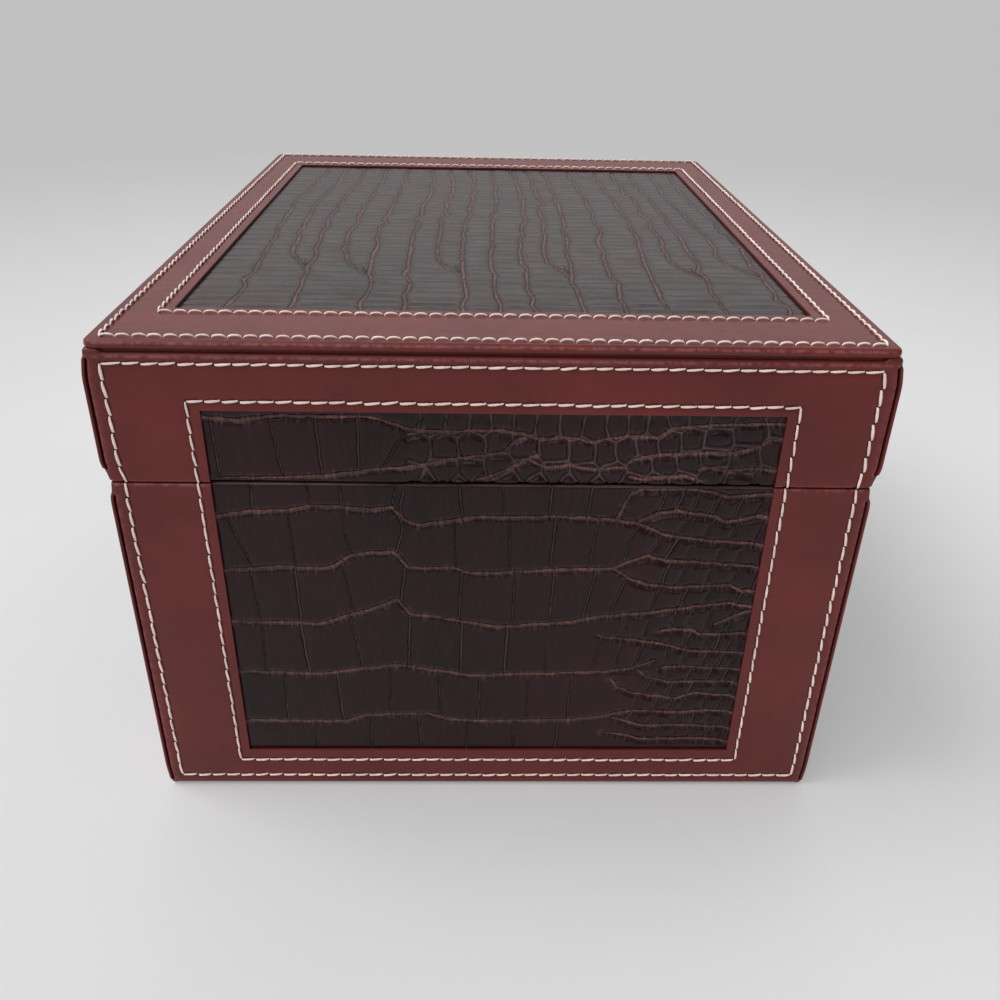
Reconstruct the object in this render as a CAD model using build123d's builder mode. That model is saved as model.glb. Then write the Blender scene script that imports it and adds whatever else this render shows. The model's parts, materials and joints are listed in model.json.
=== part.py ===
from build123d import *
import os
from math import radians, tan

# Keepsake box for papers: a wooden carcase wrapped in smooth leather bands that frame
# panels of crocodile-embossed leather, with a flush lid on two brass stop hinges.
# Millimetres. The origin is the centre of the underside, +Z is up, and the front faces -Y.

# Overall size, over the leather
box_width = 257.0
box_depth = 330.0
box_height = 189.0
lid_height = 50.0

# Wooden carcase
board_thickness = 7.0

# Leather on the outside
smooth_thickness = 3.0
croc_recess = 1.0
top_lip_height = 3.0
rim_leather = 1.2
turn_in = 12.0
tuck = 4.0
tuck_clearance = 0.2

# Bands of smooth leather round the embossed panels
wall_side_band = 33.5
lid_wall_band = 20.5
base_wall_band = 18.5
top_side_band = 20.0
top_front_band = 32.5
top_back_band = 34.5

# Rounded lips of the leather
corner_lip_radius = 1.1
wall_lip_radius = 1.9
rim_radius = 1.0
top_lip_radius = 1.6
top_under_bevel = 1.0
top_corner_radius = 3.0

# Underside cover and the cloth inside
cover_thickness = 1.5
cover_inset = 6.0
cover_corner_radius = 6.0
foot_gap = 0.7
lining_thickness = 2.0
floor_pad_thickness = 4.0
top_pad_thickness = 3.0
pad_clearance = 0.3
pad_edge_radius = 1.2

# Brass stop hinges
hinge_length = 30.0
hinge_from_band = 5.0
leaf_thickness = 2.4
leaf_inner_margin = 1.2
axis_stand_off = 0.4
knuckle_radius = 1.9
base_knuckle_length = 12.0
knuckle_clearance = 0.1
pin_radius = 0.9
pin_clearance = 0.03
mortise_clearance = 0.1
stop_angle = 95.0
stop_ease = 0.5

# Hinge screws
screw_spacing = 18.0
screw_radius = 1.1
screw_head_radius = 2.1
screw_length = 12.0
screw_slot_width = 0.5
screw_slot_depth = 0.4
screw_clearance = 0.05

# Levels that several pieces share
parting = box_height - lid_height
top_under = box_height - top_lip_height
top_board_under = top_under - board_thickness
floor_board_top = cover_thickness + board_thickness

# Distances in from the outer face of a wall
board_outer = smooth_thickness
board_inner = smooth_thickness + board_thickness
turn_in_inner = board_inner + rim_leather
lining_inner = board_inner + lining_thickness

# Hinge axis, the hinges' places along it and the middle of the boards that the screws enter
hinge_x = box_width / 2 - wall_side_band - hinge_from_band - hinge_length / 2
axis_y = box_depth / 2 + axis_stand_off
screw_y = box_depth / 2 - smooth_thickness - board_thickness / 2
leaf_inner_y = box_depth / 2 - board_inner + leaf_inner_margin

SIDES = ("front", "back", "left", "right")


def wall_length(side):
    """Outer length of a wall."""
    return box_width if side in ("front", "back") else box_depth


def wall_plan(side, level):
    """Horizontal plane with its origin on a wall's outer face, X along the wall and Y inward."""
    origins = {
        "front": (0, -box_depth / 2, level),
        "back": (0, box_depth / 2, level),
        "left": (-box_width / 2, 0, level),
        "right": (box_width / 2, 0, level),
    }
    along = {"front": (1, 0, 0), "back": (-1, 0, 0), "left": (0, -1, 0), "right": (0, 1, 0)}
    return Plane(origin=origins[side], x_dir=along[side], z_dir=(0, 0, 1))


def wall_section(side):
    """Upright plane across the middle of a wall, X inward from its outer face and Y up."""
    plan = wall_plan(side, 0)
    return Plane(origin=plan.origin, x_dir=plan.y_dir, z_dir=plan.x_dir)


def wall_block(side, width, outer, inner, start, stop):
    """Square-ended block in the middle of a wall, between two distances in and two levels."""
    with BuildPart() as block:
        with BuildSketch(wall_plan(side, min(start, stop))):
            with Locations((0, outer)):
                Rectangle(width, inner - outer, align=(Align.CENTER, Align.MIN))
        extrude(amount=abs(stop - start))
    return block.part


def hinge_centres():
    """X of the middle of each hinge."""
    return {"left": -hinge_x, "right": hinge_x}


def hinge_mortise():
    """Pocket in the back walls for both hinges, open at the back."""
    reach = leaf_thickness + mortise_clearance
    with BuildPart() as mortise:
        with BuildSketch(Plane.XY.offset(parting - reach)):
            with Locations(*[(x, leaf_inner_y - mortise_clearance) for x in hinge_centres().values()]):
                Rectangle(
                    hinge_length + 2 * mortise_clearance,
                    box_depth / 2 - leaf_inner_y + 2 * knuckle_radius,
                    align=(Align.CENTER, Align.MIN),
                )
        extrude(amount=2 * reach)
    return mortise.part


def screw_places():
    """Places of the four screws of one half of the hinges, on the parting."""
    return [
        (x + offset, screw_y, parting)
        for x in hinge_centres().values()
        for offset in (-screw_spacing / 2, screw_spacing / 2)
    ]


def screw_pilots():
    """Holes for the screws in the edges of the back boards, above and below the parting."""
    reach = screw_length + screw_clearance
    with BuildPart() as pilots:
        with Locations(*screw_places()):
            Cylinder(screw_radius + screw_clearance, 2 * reach)
    return pilots.part


def half_levels(half):
    """Levels of one half. Its depth runs from the rim to its closed end, down or up."""
    if half == "base":
        into, end, board_end, band = -1, foot_gap, floor_board_top, base_wall_band
    else:
        into, end, board_end, band = 1, top_under, top_board_under, lid_wall_band
    return {
        "end": end,
        "board_end": board_end,
        "board_rim": parting + into * rim_leather,
        "turn_edge": parting + into * turn_in,
        "window_end": end - into * band,
        "tuck_end": end - into * (band - tuck),
        "croc_end": end - into * (band - tuck + tuck_clearance),
    }


def finish(piece, name):
    """Labels a finished piece and writes it."""
    piece.part.label = name
    export_step(piece.part, f"parts/{name}.step")


def make_wall_board(half, side):
    """Wooden wall. The side walls run through and the front and back walls stand between them."""
    levels = half_levels(half)
    shortening = 2 * (board_inner if side in ("front", "back") else board_outer)
    width = wall_length(side) - shortening
    with BuildPart() as board:
        add(wall_block(side, width, board_outer, board_inner, levels["board_end"], levels["board_rim"]))
        if side == "back":
            add(hinge_mortise(), mode=Mode.SUBTRACT)
            add(screw_pilots(), mode=Mode.SUBTRACT)
    finish(board, f"{half}_{side}_board")


def make_flat_board(name, level):
    """Board that closes a half, under its walls or over them."""
    with BuildPart() as board:
        with BuildSketch(Plane.XY.offset(level)):
            Rectangle(box_width - 2 * board_outer, box_depth - 2 * board_outer)
        extrude(amount=board_thickness)
    finish(board, name)


def make_wall_leather(half, side):
    """Smooth leather band on three sides of a wall, turned over the rim and mitred at the corners."""
    levels = half_levels(half)
    half_length = wall_length(side) / 2
    window = wall_length(side) - 2 * wall_side_band
    with BuildPart() as leather:
        with BuildSketch(wall_section(side)) as section:
            Polygon(
                (0, levels["end"]),
                (0, parting),
                (turn_in_inner, parting),
                (turn_in_inner, levels["turn_edge"]),
                (board_inner, levels["turn_edge"]),
                (board_inner, levels["board_rim"]),
                (board_outer, levels["board_rim"]),
                (board_outer, levels["end"]),
                align=None,
            )
            lips = section.vertices().group_by(Axis.X)[0].sort_by(Axis.Y)
            base_lips = (wall_lip_radius, rim_radius)
            for corner, radius in zip(lips, base_lips if half == "base" else reversed(base_lips)):
                fillet(corner, radius)
        extrude(amount=half_length, both=True)
        with BuildSketch(wall_plan(side, 0)) as plan:
            Polygon(
                (-half_length, 0),
                (half_length, 0),
                (half_length - turn_in_inner, turn_in_inner),
                (turn_in_inner - half_length, turn_in_inner),
                align=None,
            )
            fillet(plan.vertices().group_by(Axis.Y)[0], corner_lip_radius)
        extrude(amount=box_height, mode=Mode.INTERSECT)
        add(
            wall_block(side, window, 0, turn_in_inner, levels["window_end"], parting),
            mode=Mode.SUBTRACT,
        )
        under = wall_block(
            side, window + 2 * tuck, croc_recess, board_outer, levels["tuck_end"], levels["board_rim"]
        )
        add(under, mode=Mode.SUBTRACT)
    finish(leather, f"{half}_{side}_leather")


def make_wall_croc(half, side):
    """Embossed panel that tucks under the smooth band and is turned over the rim."""
    levels = half_levels(half)
    window = wall_length(side) - 2 * wall_side_band
    tucked = window + 2 * (tuck - tuck_clearance)
    with BuildPart() as croc:
        with BuildSketch(wall_section(side)) as section:
            Polygon(
                (croc_recess, levels["croc_end"]),
                (croc_recess, parting),
                (turn_in_inner, parting),
                (turn_in_inner, levels["turn_edge"]),
                (board_inner, levels["turn_edge"]),
                (board_inner, levels["board_rim"]),
                (board_outer, levels["board_rim"]),
                (board_outer, levels["croc_end"]),
                align=None,
            )
            lips = section.vertices().group_by(Axis.X)[0].sort_by(Axis.Y)
            fillet(lips[-1 if half == "base" else 0], rim_radius)
        extrude(amount=window / 2, both=True)
        add(
            wall_block(side, tucked, croc_recess, board_outer, levels["croc_end"], levels["board_rim"])
        )
        if side == "back":
            add(hinge_mortise(), mode=Mode.SUBTRACT)
    finish(croc, f"{half}_{side}_croc")


def make_top_leather():
    """Smooth leather border of the lid's top. Its lip is rounded above and bevelled below,
    so that a V-shaped groove runs between it and the walls."""
    window_width = box_width - 2 * top_side_band
    window_depth = box_depth - top_front_band - top_back_band
    window_y = (top_front_band - top_back_band) / 2
    with BuildPart() as leather:
        with BuildSketch(Plane.XY.offset(top_under)):
            RectangleRounded(box_width, box_depth, top_corner_radius)
        extrude(amount=top_lip_height)
        fillet(leather.faces().sort_by(Axis.Z)[-1].edges(), top_lip_radius)
        chamfer(leather.faces().sort_by(Axis.Z)[0].edges(), top_under_bevel)
        with BuildSketch(Plane.XY.offset(top_under)):
            with Locations((0, window_y)):
                Rectangle(window_width + 2 * tuck, window_depth + 2 * tuck)
        extrude(amount=top_lip_height - croc_recess, mode=Mode.SUBTRACT)
        with BuildSketch(Plane.XY.offset(top_under)):
            with Locations((0, window_y)):
                Rectangle(window_width, window_depth)
        extrude(amount=top_lip_height, mode=Mode.SUBTRACT)
    finish(leather, "lid_top_leather")


def make_top_croc():
    """Embossed panel of the lid's top, tucked under its border."""
    reach = tuck - tuck_clearance
    with BuildPart() as croc:
        with BuildSketch(Plane.XY.offset(top_under)):
            with Locations((0, (top_front_band - top_back_band) / 2)):
                Rectangle(
                    box_width - 2 * top_side_band + 2 * reach,
                    box_depth - top_front_band - top_back_band + 2 * reach,
                )
        extrude(amount=top_lip_height - croc_recess)
    finish(croc, "lid_top_croc")


def make_wall_lining(half, side):
    """Cloth-covered panel on the inside of a wall, up to the leather that is turned in."""
    levels = half_levels(half)
    shortening = 2 * (board_inner if side in ("left", "right") else lining_inner)
    width = wall_length(side) - shortening
    with BuildPart() as lining:
        add(wall_block(side, width, board_inner, lining_inner, levels["board_end"], levels["turn_edge"]))
    finish(lining, f"{half}_{side}_lining")


def make_flat_pad(name, low, thickness, visible_face):
    """Padded panel inside the floor or the top, with its visible edges rounded."""
    with BuildPart() as pad:
        with BuildSketch(Plane.XY.offset(low)):
            Rectangle(
                box_width - 2 * (lining_inner + pad_clearance),
                box_depth - 2 * (lining_inner + pad_clearance),
            )
        extrude(amount=thickness)
        fillet(pad.faces().sort_by(Axis.Z)[visible_face].edges(), pad_edge_radius)
    finish(pad, name)


def make_underside_cover():
    """Cloth-covered card that the box stands on."""
    with BuildPart() as cover:
        with BuildSketch(Plane.XY):
            RectangleRounded(
                box_width - 2 * cover_inset,
                box_depth - 2 * cover_inset,
                cover_corner_radius,
            )
        extrude(amount=cover_thickness)
    finish(cover, "underside_cover")


def make_hinge_leaf(half, hand):
    """Solid leaf let into a rim. Its bevelled end meets the other leaf's when the lid is open."""
    up = 1 if half == "lid" else -1
    centre = hinge_centres()[hand]
    stop_reach = leaf_thickness / tan(radians((stop_angle + stop_ease) / 2))
    side_knuckle_length = (hinge_length - base_knuckle_length) / 2
    side_knuckle_x = base_knuckle_length / 2 + side_knuckle_length / 2
    along_x = Plane(origin=(centre, axis_y, parting), x_dir=(0, 1, 0), z_dir=(1, 0, 0))
    middle = [(0, 0, 0)]
    outside = [(0, 0, -side_knuckle_x), (0, 0, side_knuckle_x)]
    own, other = (outside, middle) if half == "lid" else (middle, outside)
    own_length, other_length = (
        (side_knuckle_length, base_knuckle_length)
        if half == "lid"
        else (base_knuckle_length, side_knuckle_length)
    )
    with BuildPart() as leaf:
        with BuildSketch(along_x.offset(-hinge_length / 2)):
            Polygon(
                (leaf_inner_y - axis_y, 0),
                (0, 0),
                (stop_reach, up * leaf_thickness),
                (leaf_inner_y - axis_y, up * leaf_thickness),
                align=None,
            )
        extrude(amount=hinge_length)
        with Locations(*[along_x.from_local_coords(place) for place in other]):
            Cylinder(
                knuckle_radius + knuckle_clearance,
                other_length + 2 * knuckle_clearance,
                rotation=(0, 90, 0),
                mode=Mode.SUBTRACT,
            )
        with Locations(*[along_x.from_local_coords(place) for place in own]):
            Cylinder(knuckle_radius, own_length, rotation=(0, 90, 0))
        with Locations((centre, axis_y, parting)):
            Cylinder(
                pin_radius + pin_clearance,
                2 * hinge_length,
                rotation=(0, 90, 0),
                mode=Mode.SUBTRACT,
            )
        screws = [place for place in screw_places() if abs(place[0] - centre) < hinge_length / 2]
        for place in screws:
            face = Plane(origin=place, z_dir=(0, 0, -up))
            with Locations(face):
                CounterSinkHole(
                    screw_radius + screw_clearance,
                    screw_head_radius + screw_clearance,
                    leaf_thickness,
                )
    finish(leaf, f"{hand}_hinge_{half}_leaf")


def make_hinge_pin(hand):
    """Pin through the knuckles of one hinge."""
    with BuildPart() as pin:
        with Locations((hinge_centres()[hand], axis_y, parting)):
            Cylinder(pin_radius, hinge_length, rotation=(0, 90, 0))
    finish(pin, f"{hand}_hinge_pin")


def make_hinge_screws(half):
    """Four slotted countersunk screws with flat ends, through the leaves of one half."""
    up = 1 if half == "lid" else -1
    cone = screw_head_radius - screw_radius
    with BuildPart() as screws:
        for place in screw_places():
            section = Plane(origin=place, x_dir=(1, 0, 0), z_dir=(0, up, 0))
            with BuildSketch(section):
                Polygon(
                    (0, 0),
                    (screw_head_radius, 0),
                    (screw_radius, -cone),
                    (screw_radius, -screw_length),
                    (0, -screw_length),
                    align=None,
                )
            revolve(axis=Axis(place, (0, 0, 1)))
        with Locations(*screw_places()):
            Box(
                screw_slot_width,
                2 * screw_head_radius,
                2 * screw_slot_depth,
                rotation=(0, 0, 30),
                mode=Mode.SUBTRACT,
            )
    finish(screws, f"hinge_{half}_screws")


def main():
    os.makedirs("parts", exist_ok=True)
    make_flat_board("base_floor_board", cover_thickness)
    make_flat_board("lid_top_board", top_board_under)
    for half in ("base", "lid"):
        for side in SIDES:
            make_wall_board(half, side)
            make_wall_leather(half, side)
            make_wall_croc(half, side)
            make_wall_lining(half, side)
        make_hinge_screws(half)
        for hand in hinge_centres():
            make_hinge_leaf(half, hand)
    make_top_leather()
    make_top_croc()
    make_flat_pad("base_floor_pad", floor_board_top, floor_pad_thickness, -1)
    make_flat_pad("lid_top_pad", top_board_under - top_pad_thickness, top_pad_thickness, 0)
    make_underside_cover()
    for hand in hinge_centres():
        make_hinge_pin(hand)


main()
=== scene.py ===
import json
import math
from contextlib import contextmanager

import bpy
import numpy as np
from mathutils import Matrix, Vector

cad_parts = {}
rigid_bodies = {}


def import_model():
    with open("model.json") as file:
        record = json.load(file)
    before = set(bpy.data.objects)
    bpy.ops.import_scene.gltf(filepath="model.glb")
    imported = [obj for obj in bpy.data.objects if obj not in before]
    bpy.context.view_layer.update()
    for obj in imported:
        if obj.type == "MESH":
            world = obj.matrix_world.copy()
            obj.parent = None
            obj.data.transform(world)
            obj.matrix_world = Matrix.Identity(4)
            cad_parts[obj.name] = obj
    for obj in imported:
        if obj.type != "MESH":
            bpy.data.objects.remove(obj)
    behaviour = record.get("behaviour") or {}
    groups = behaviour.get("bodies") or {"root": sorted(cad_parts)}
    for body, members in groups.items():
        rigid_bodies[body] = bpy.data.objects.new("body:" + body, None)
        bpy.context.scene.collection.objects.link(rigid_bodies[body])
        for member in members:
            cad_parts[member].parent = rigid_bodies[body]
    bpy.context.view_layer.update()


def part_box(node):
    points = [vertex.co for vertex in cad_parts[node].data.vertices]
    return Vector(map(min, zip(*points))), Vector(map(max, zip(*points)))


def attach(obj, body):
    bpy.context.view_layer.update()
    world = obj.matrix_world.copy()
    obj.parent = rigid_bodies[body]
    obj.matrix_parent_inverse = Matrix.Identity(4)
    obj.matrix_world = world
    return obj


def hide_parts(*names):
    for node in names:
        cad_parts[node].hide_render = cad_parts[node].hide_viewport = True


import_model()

bl_info = {
    "name": "Leather keepsake box",
    "version": (1, 0, 0),
    "blender": (4, 5, 0),
    "location": "View3D > Sidebar > Keepsake box",
    "description": "Dresses the keepsake box in stitched smooth and embossed leather",
    "category": "Object",
}

# The solid model's box and the places that the pieces share, all in metres. TUCKED is how far a panel
# runs under its bands, and ON_FACE the depth up to which a point of it is on the wall's face.
TOP_LOW, TOP_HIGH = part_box("lid_top_leather")
CAP_LOW, CAP_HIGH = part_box("base_front_leather")
PANEL_LOW, PANEL_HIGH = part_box("base_front_croc")
LID_PANEL_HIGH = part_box("lid_front_croc")[1]
TOP_PANEL_LOW, TOP_PANEL_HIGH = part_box("lid_top_croc")
HALF_WIDTH = TOP_HIGH.x
HALF_DEPTH = TOP_HIGH.y
PARTING = CAP_HIGH.z
FOOT = CAP_LOW.z
TOP_UNDER = TOP_LOW.z
RECESS = PANEL_LOW.y - CAP_LOW.y
TURN_DEPTH = CAP_HIGH.y - CAP_LOW.y
TURN_EDGE = PARTING - 0.012
TUCKED = 0.0038
WALL_BAND = HALF_WIDTH - PANEL_HIGH.x + TUCKED
BASE_BAND = PANEL_LOW.z - FOOT + TUCKED
LID_BAND = TOP_UNDER - LID_PANEL_HIGH.z + TUCKED
ON_FACE = RECESS + 1e-6
# A place in millimetres past the end of every panel, for patterns without small scales
NOWHERE = 999.0

HALVES = ("base", "lid")
SIDES = ("front", "back", "left", "right")
ALONG = {"front": (1, 0), "back": (-1, 0), "left": (0, -1), "right": (0, 1)}
INTO = {"base": -1.0, "lid": 1.0}
BACKDROP = 0.53


class KeepsakeSizes(bpy.types.PropertyGroup):
    """Sizes of the sewing, the leather and the cloth."""

    stitch_pitch: bpy.props.FloatProperty(
        name="Stitch pitch", description="From one needle hole to the next on the walls",
        default=0.0057, min=0.003, max=0.012, subtype="DISTANCE",
    )
    top_stitch_pitch: bpy.props.FloatProperty(
        name="Top stitch pitch", description="From one needle hole to the next on the top",
        default=0.0050, min=0.003, max=0.012, subtype="DISTANCE",
    )
    thread_width: bpy.props.FloatProperty(
        name="Thread width", description="Width of the twisted thread", default=0.00084,
        min=0.0004, max=0.002, subtype="DISTANCE",
    )
    outer_row: bpy.props.FloatProperty(
        name="Outer row", description="From a wall's edge to the outer row of stitches",
        default=0.0056, min=0.002, max=0.01, subtype="DISTANCE",
    )
    inner_row: bpy.props.FloatProperty(
        name="Inner row", description="From the embossed panel to the inner row of stitches",
        default=0.0040, min=0.002, max=0.01, subtype="DISTANCE",
    )
    top_outer_row: bpy.props.FloatProperty(
        name="Top outer row", description="From the top's edge to its outer row of stitches",
        default=0.0043, min=0.002, max=0.01, subtype="DISTANCE",
    )
    top_inner_row: bpy.props.FloatProperty(
        name="Top inner row", description="From the top's embossed panel to its inner row of stitches",
        default=0.0045, min=0.002, max=0.01, subtype="DISTANCE",
    )
    lid_corner_swell: bpy.props.FloatProperty(
        name="Lid corner swell", description="How far the leather stands proud at the lid's corners",
        default=0.0020, min=0.0, max=0.003, subtype="DISTANCE",
    )
    base_corner_swell: bpy.props.FloatProperty(
        name="Base corner swell", description="How far the leather stands proud at the base's corners",
        default=0.0010, min=0.0, max=0.003, subtype="DISTANCE",
    )
    valley_depth: bpy.props.FloatProperty(
        name="Sewn valley", description="How far a row of stitches pulls the leather down",
        default=0.0004, min=0.0, max=0.001, subtype="DISTANCE",
    )
    leather_thickness: bpy.props.FloatProperty(
        name="Leather thickness", description="Thickness of the smooth leather", default=0.00092,
        min=0.0006, max=0.0025, subtype="DISTANCE",
    )
    fold_depth: bpy.props.FloatProperty(
        name="Fold depth", description="Depth of the embossed folds between rows of scales",
        default=0.00055, min=0.0, max=0.0012, subtype="DISTANCE",
    )
    cut_depth: bpy.props.FloatProperty(
        name="Cut depth", description="Depth of the embossed lines across a row of scales",
        default=0.0004, min=0.0, max=0.0012, subtype="DISTANCE",
    )
    lining_crown: bpy.props.FloatProperty(
        name="Lining crown", description="How far the padding lifts the cloth inside",
        default=0.0006, min=0.0, max=0.002, subtype="DISTANCE",
    )


class KeepsakeColours(bpy.types.PropertyGroup):
    """Colours of the finishes, as they look in plain light."""

    smooth_leather: bpy.props.FloatVectorProperty(
        name="Smooth leather", description="Oxblood brown of the smooth bands",
        default=(0.134, 0.0175, 0.0155), min=0, max=1, subtype="COLOR",
    )
    embossed_leather: bpy.props.FloatVectorProperty(
        name="Embossed leather", description="Dark burgundy brown of the embossed panels",
        default=(0.0165, 0.0034, 0.0048), min=0, max=1, subtype="COLOR",
    )
    crease: bpy.props.FloatVectorProperty(
        name="Creases", description="Lighter brown of the folds in the embossed leather",
        default=(0.270, 0.125, 0.108), min=0, max=1, subtype="COLOR",
    )
    thread: bpy.props.FloatVectorProperty(
        name="Thread", description="Cream of the stitching",
        default=(0.98, 0.80, 0.73), min=0, max=1, subtype="COLOR",
    )
    lining: bpy.props.FloatVectorProperty(
        name="Lining", description="Tan suede cloth inside",
        default=(0.235, 0.130, 0.085), min=0, max=1, subtype="COLOR",
    )
    floor: bpy.props.FloatVectorProperty(
        name="Floor", description="Pale floor that the box stands on",
        default=(0.58, 0.58, 0.585), min=0, max=1, subtype="COLOR",
    )


def sizes():
    return bpy.context.scene.keepsake_sizes


def colours():
    return bpy.context.scene.keepsake_colours


# Paths and places


def arc(centre, radius, start, stop, count):
    """Points on an arc, with its angles in degrees."""
    angles = np.radians(np.linspace(start, stop, count))
    return [(centre[0] + radius * math.cos(a), centre[1] + radius * math.sin(a)) for a in angles]


def straight(start, stop, marks, coarse):
    """Points from start to stop, close together near the marks, which are distances from start."""
    start, stop = np.array(start, float), np.array(stop, float)
    length = float(np.linalg.norm(stop - start))
    places = spaced(0.0, length, marks, coarse)
    return [tuple(start + (stop - start) * place / length) for place in places]


def spaced(low, high, marks, coarse, fine=0.0004, reach=0.002):
    """Places from low to high, coarse apart, and fine apart within reach of each mark."""
    cuts = {low, high}
    for mark in marks:
        for place in (mark - reach, mark, mark + reach):
            if low + 1e-6 < place < high - 1e-6:
                cuts.add(round(place, 7))
    cuts = sorted(cuts)
    places = [low]
    for a, b in zip(cuts, cuts[1:]):
        near = any(abs((a + b) / 2 - mark) < reach for mark in marks)
        count = max(1, round((b - a) / (fine if near else coarse)))
        places += [a + (b - a) * k / count for k in range(1, count + 1)]
    return places


def path_frame(points):
    """Distance along a path and its inward normal at each point, to the left of travel."""
    points = np.array(points, float)
    steps = np.linalg.norm(np.diff(points, axis=0), axis=1)
    travel = np.concatenate([[0.0], np.cumsum(steps)])
    slope = np.gradient(points, travel, axis=0, edge_order=1)
    slope /= np.linalg.norm(slope, axis=1)[:, None]
    return points, travel, np.stack([-slope[:, 1], slope[:, 0]], axis=1)


def wall_half_length(side):
    return HALF_WIDTH if side in ("front", "back") else HALF_DEPTH


def ease(value):
    """Smooth step from 0 to 1."""
    share = np.clip(value, 0, 1)
    return share * share * (3 - 2 * share)


def half_height(half):
    return PARTING - FOOT if half == "base" else TOP_UNDER - PARTING


def half_band(half):
    return BASE_BAND if half == "base" else LID_BAND


def stand_proud(side, half, along, depth, height):
    """Moves the leather out at the upright corners, where it swells between the pinched rims."""
    reach = wall_half_length(side)
    full = half_height(half)
    swell = sizes().lid_corner_swell if half == "lid" else sizes().base_corner_swell
    swell = swell * (0.15 + 0.85 * ease(height / 0.0085)) * (0.35 + 0.65 * ease((full - height) / 0.011))
    swell = swell * np.clip((0.005 - depth) / 0.002, 0, 1)
    gap = reach - np.abs(along)
    if side in ("front", "back"):
        return along + np.sign(along) * swell * ease(1 - gap / 0.012), depth
    return along, depth - swell * np.exp(-((np.maximum(gap, 0) / 0.022) ** 2))


def wall_point(side, half, along, depth, height):
    """World places of points given along a wall, in from its face and away from the rim."""
    along, depth = stand_proud(side, half, along, depth, height)
    along_x, along_y = ALONG[side]
    inward_x, inward_y = -along_y, along_x
    out = HALF_DEPTH if side in ("front", "back") else HALF_WIDTH
    x = along * along_x + (depth - out) * inward_x
    y = along * along_y + (depth - out) * inward_y
    z = PARTING + INTO[half] * height + 0 * along
    return np.stack([x, y, z], axis=-1)


def clean_selection():
    """Leaves nothing selected and no object active."""
    if bpy.context.object and bpy.context.object.mode != "OBJECT":
        bpy.ops.object.mode_set(mode="OBJECT")
    bpy.ops.object.select_all(action="DESELECT")
    bpy.context.view_layer.objects.active = None


def select_only(piece):
    """Leaves one piece selected and active, in object mode."""
    clean_selection()
    bpy.context.view_layer.objects.active = piece
    piece.select_set(True)


@contextmanager
def editing(piece, action="SELECT"):
    """Edit mode on one piece, with everything or nothing of it selected."""
    select_only(piece)
    bpy.ops.object.mode_set(mode="EDIT")
    bpy.ops.mesh.select_all(action=action)
    yield
    bpy.ops.object.mode_set(mode="OBJECT")


@contextmanager
def editing_faces(piece, chosen):
    """Edit mode on one piece, with only the chosen faces selected."""
    with editing(piece, "DESELECT"):
        pass
    piece.data.polygons.foreach_set("select", chosen)
    bpy.ops.object.mode_set(mode="EDIT")
    bpy.ops.mesh.select_mode(type="FACE")
    yield
    bpy.ops.object.mode_set(mode="OBJECT")


def add_block(name, middle, size):
    """Block of a given size round a place."""
    clean_selection()
    bpy.ops.mesh.primitive_cube_add(size=1, location=tuple(middle), scale=tuple(size))
    bpy.ops.object.transform_apply(location=True, rotation=True, scale=True)
    block = bpy.context.object
    block.name = block.data.name = name
    return block


def grid_sheet(name, columns, rows):
    """Flat grid with a vertex for each column and row, and each vertex's column and row."""
    clean_selection()
    bpy.ops.mesh.primitive_grid_add(x_subdivisions=columns - 1, y_subdivisions=rows - 1, size=1)
    sheet = bpy.context.object
    sheet.name = sheet.data.name = name
    places = vertex_places(sheet)
    column = np.rint((places[:, 0] + 0.5) * (columns - 1)).astype(int)
    row = np.rint((places[:, 1] + 0.5) * (rows - 1)).astype(int)
    return sheet, column, row


def place_vertices(piece, places):
    piece.data.vertices.foreach_set("co", np.ascontiguousarray(places, float).ravel())
    piece.data.update()


def vertex_places(piece):
    co = np.empty(len(piece.data.vertices) * 3)
    piece.data.vertices.foreach_get("co", co)
    return co.reshape(-1, 3)


def keep_values(piece, name, values):
    """Stores one number for each vertex, which modifiers carry along and materials read."""
    attribute = piece.data.attributes.new(name, "FLOAT", "POINT")
    attribute.data.foreach_set("value", np.ascontiguousarray(values, np.float32))


def face_mean(piece, values):
    """Mean of a number that each vertex has, over each face."""
    loops = np.empty(len(piece.data.loops), int)
    piece.data.loops.foreach_get("vertex_index", loops)
    starts = np.empty(len(piece.data.polygons), int)
    piece.data.polygons.foreach_get("loop_start", starts)
    return np.add.reduceat(values[loops], starts) / np.diff(np.append(starts, len(loops)))


def apply_modifier(piece, kind, **settings):
    select_only(piece)
    modifier = piece.modifiers.new(kind.title(), kind)
    for key, value in settings.items():
        setattr(modifier, key, value)
    bpy.ops.object.modifier_apply(modifier=modifier.name)


def flip(piece):
    with editing(piece):
        bpy.ops.mesh.flip_normals()


def turn_out(sheet, outward):
    """Turns an open sheet so that its faces look the given way."""
    total = sum((face.normal * face.area for face in sheet.data.polygons), Vector())
    if total.dot(Vector(outward)) < 0:
        flip(sheet)


def face_outward(piece):
    """Turns all faces of a closed piece outwards."""
    with editing(piece):
        bpy.ops.mesh.normals_make_consistent(inside=False)
    middle = sum((Vector(corner) for corner in piece.bound_box), Vector()) / 8
    volume = sum((face.center - middle).dot(face.normal) * face.area for face in piece.data.polygons)
    if volume < 0:
        flip(piece)


def smooth(piece, angle):
    select_only(piece)
    bpy.ops.object.shade_smooth_by_angle(angle=math.radians(angle))


def thicken(piece, group=""):
    """Gives an open sheet the leather's thickness, inwards."""
    apply_modifier(
        piece, "SOLIDIFY", thickness=sizes().leather_thickness, offset=-1.0,
        use_quality_normals=True, vertex_group=group,
    )


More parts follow.
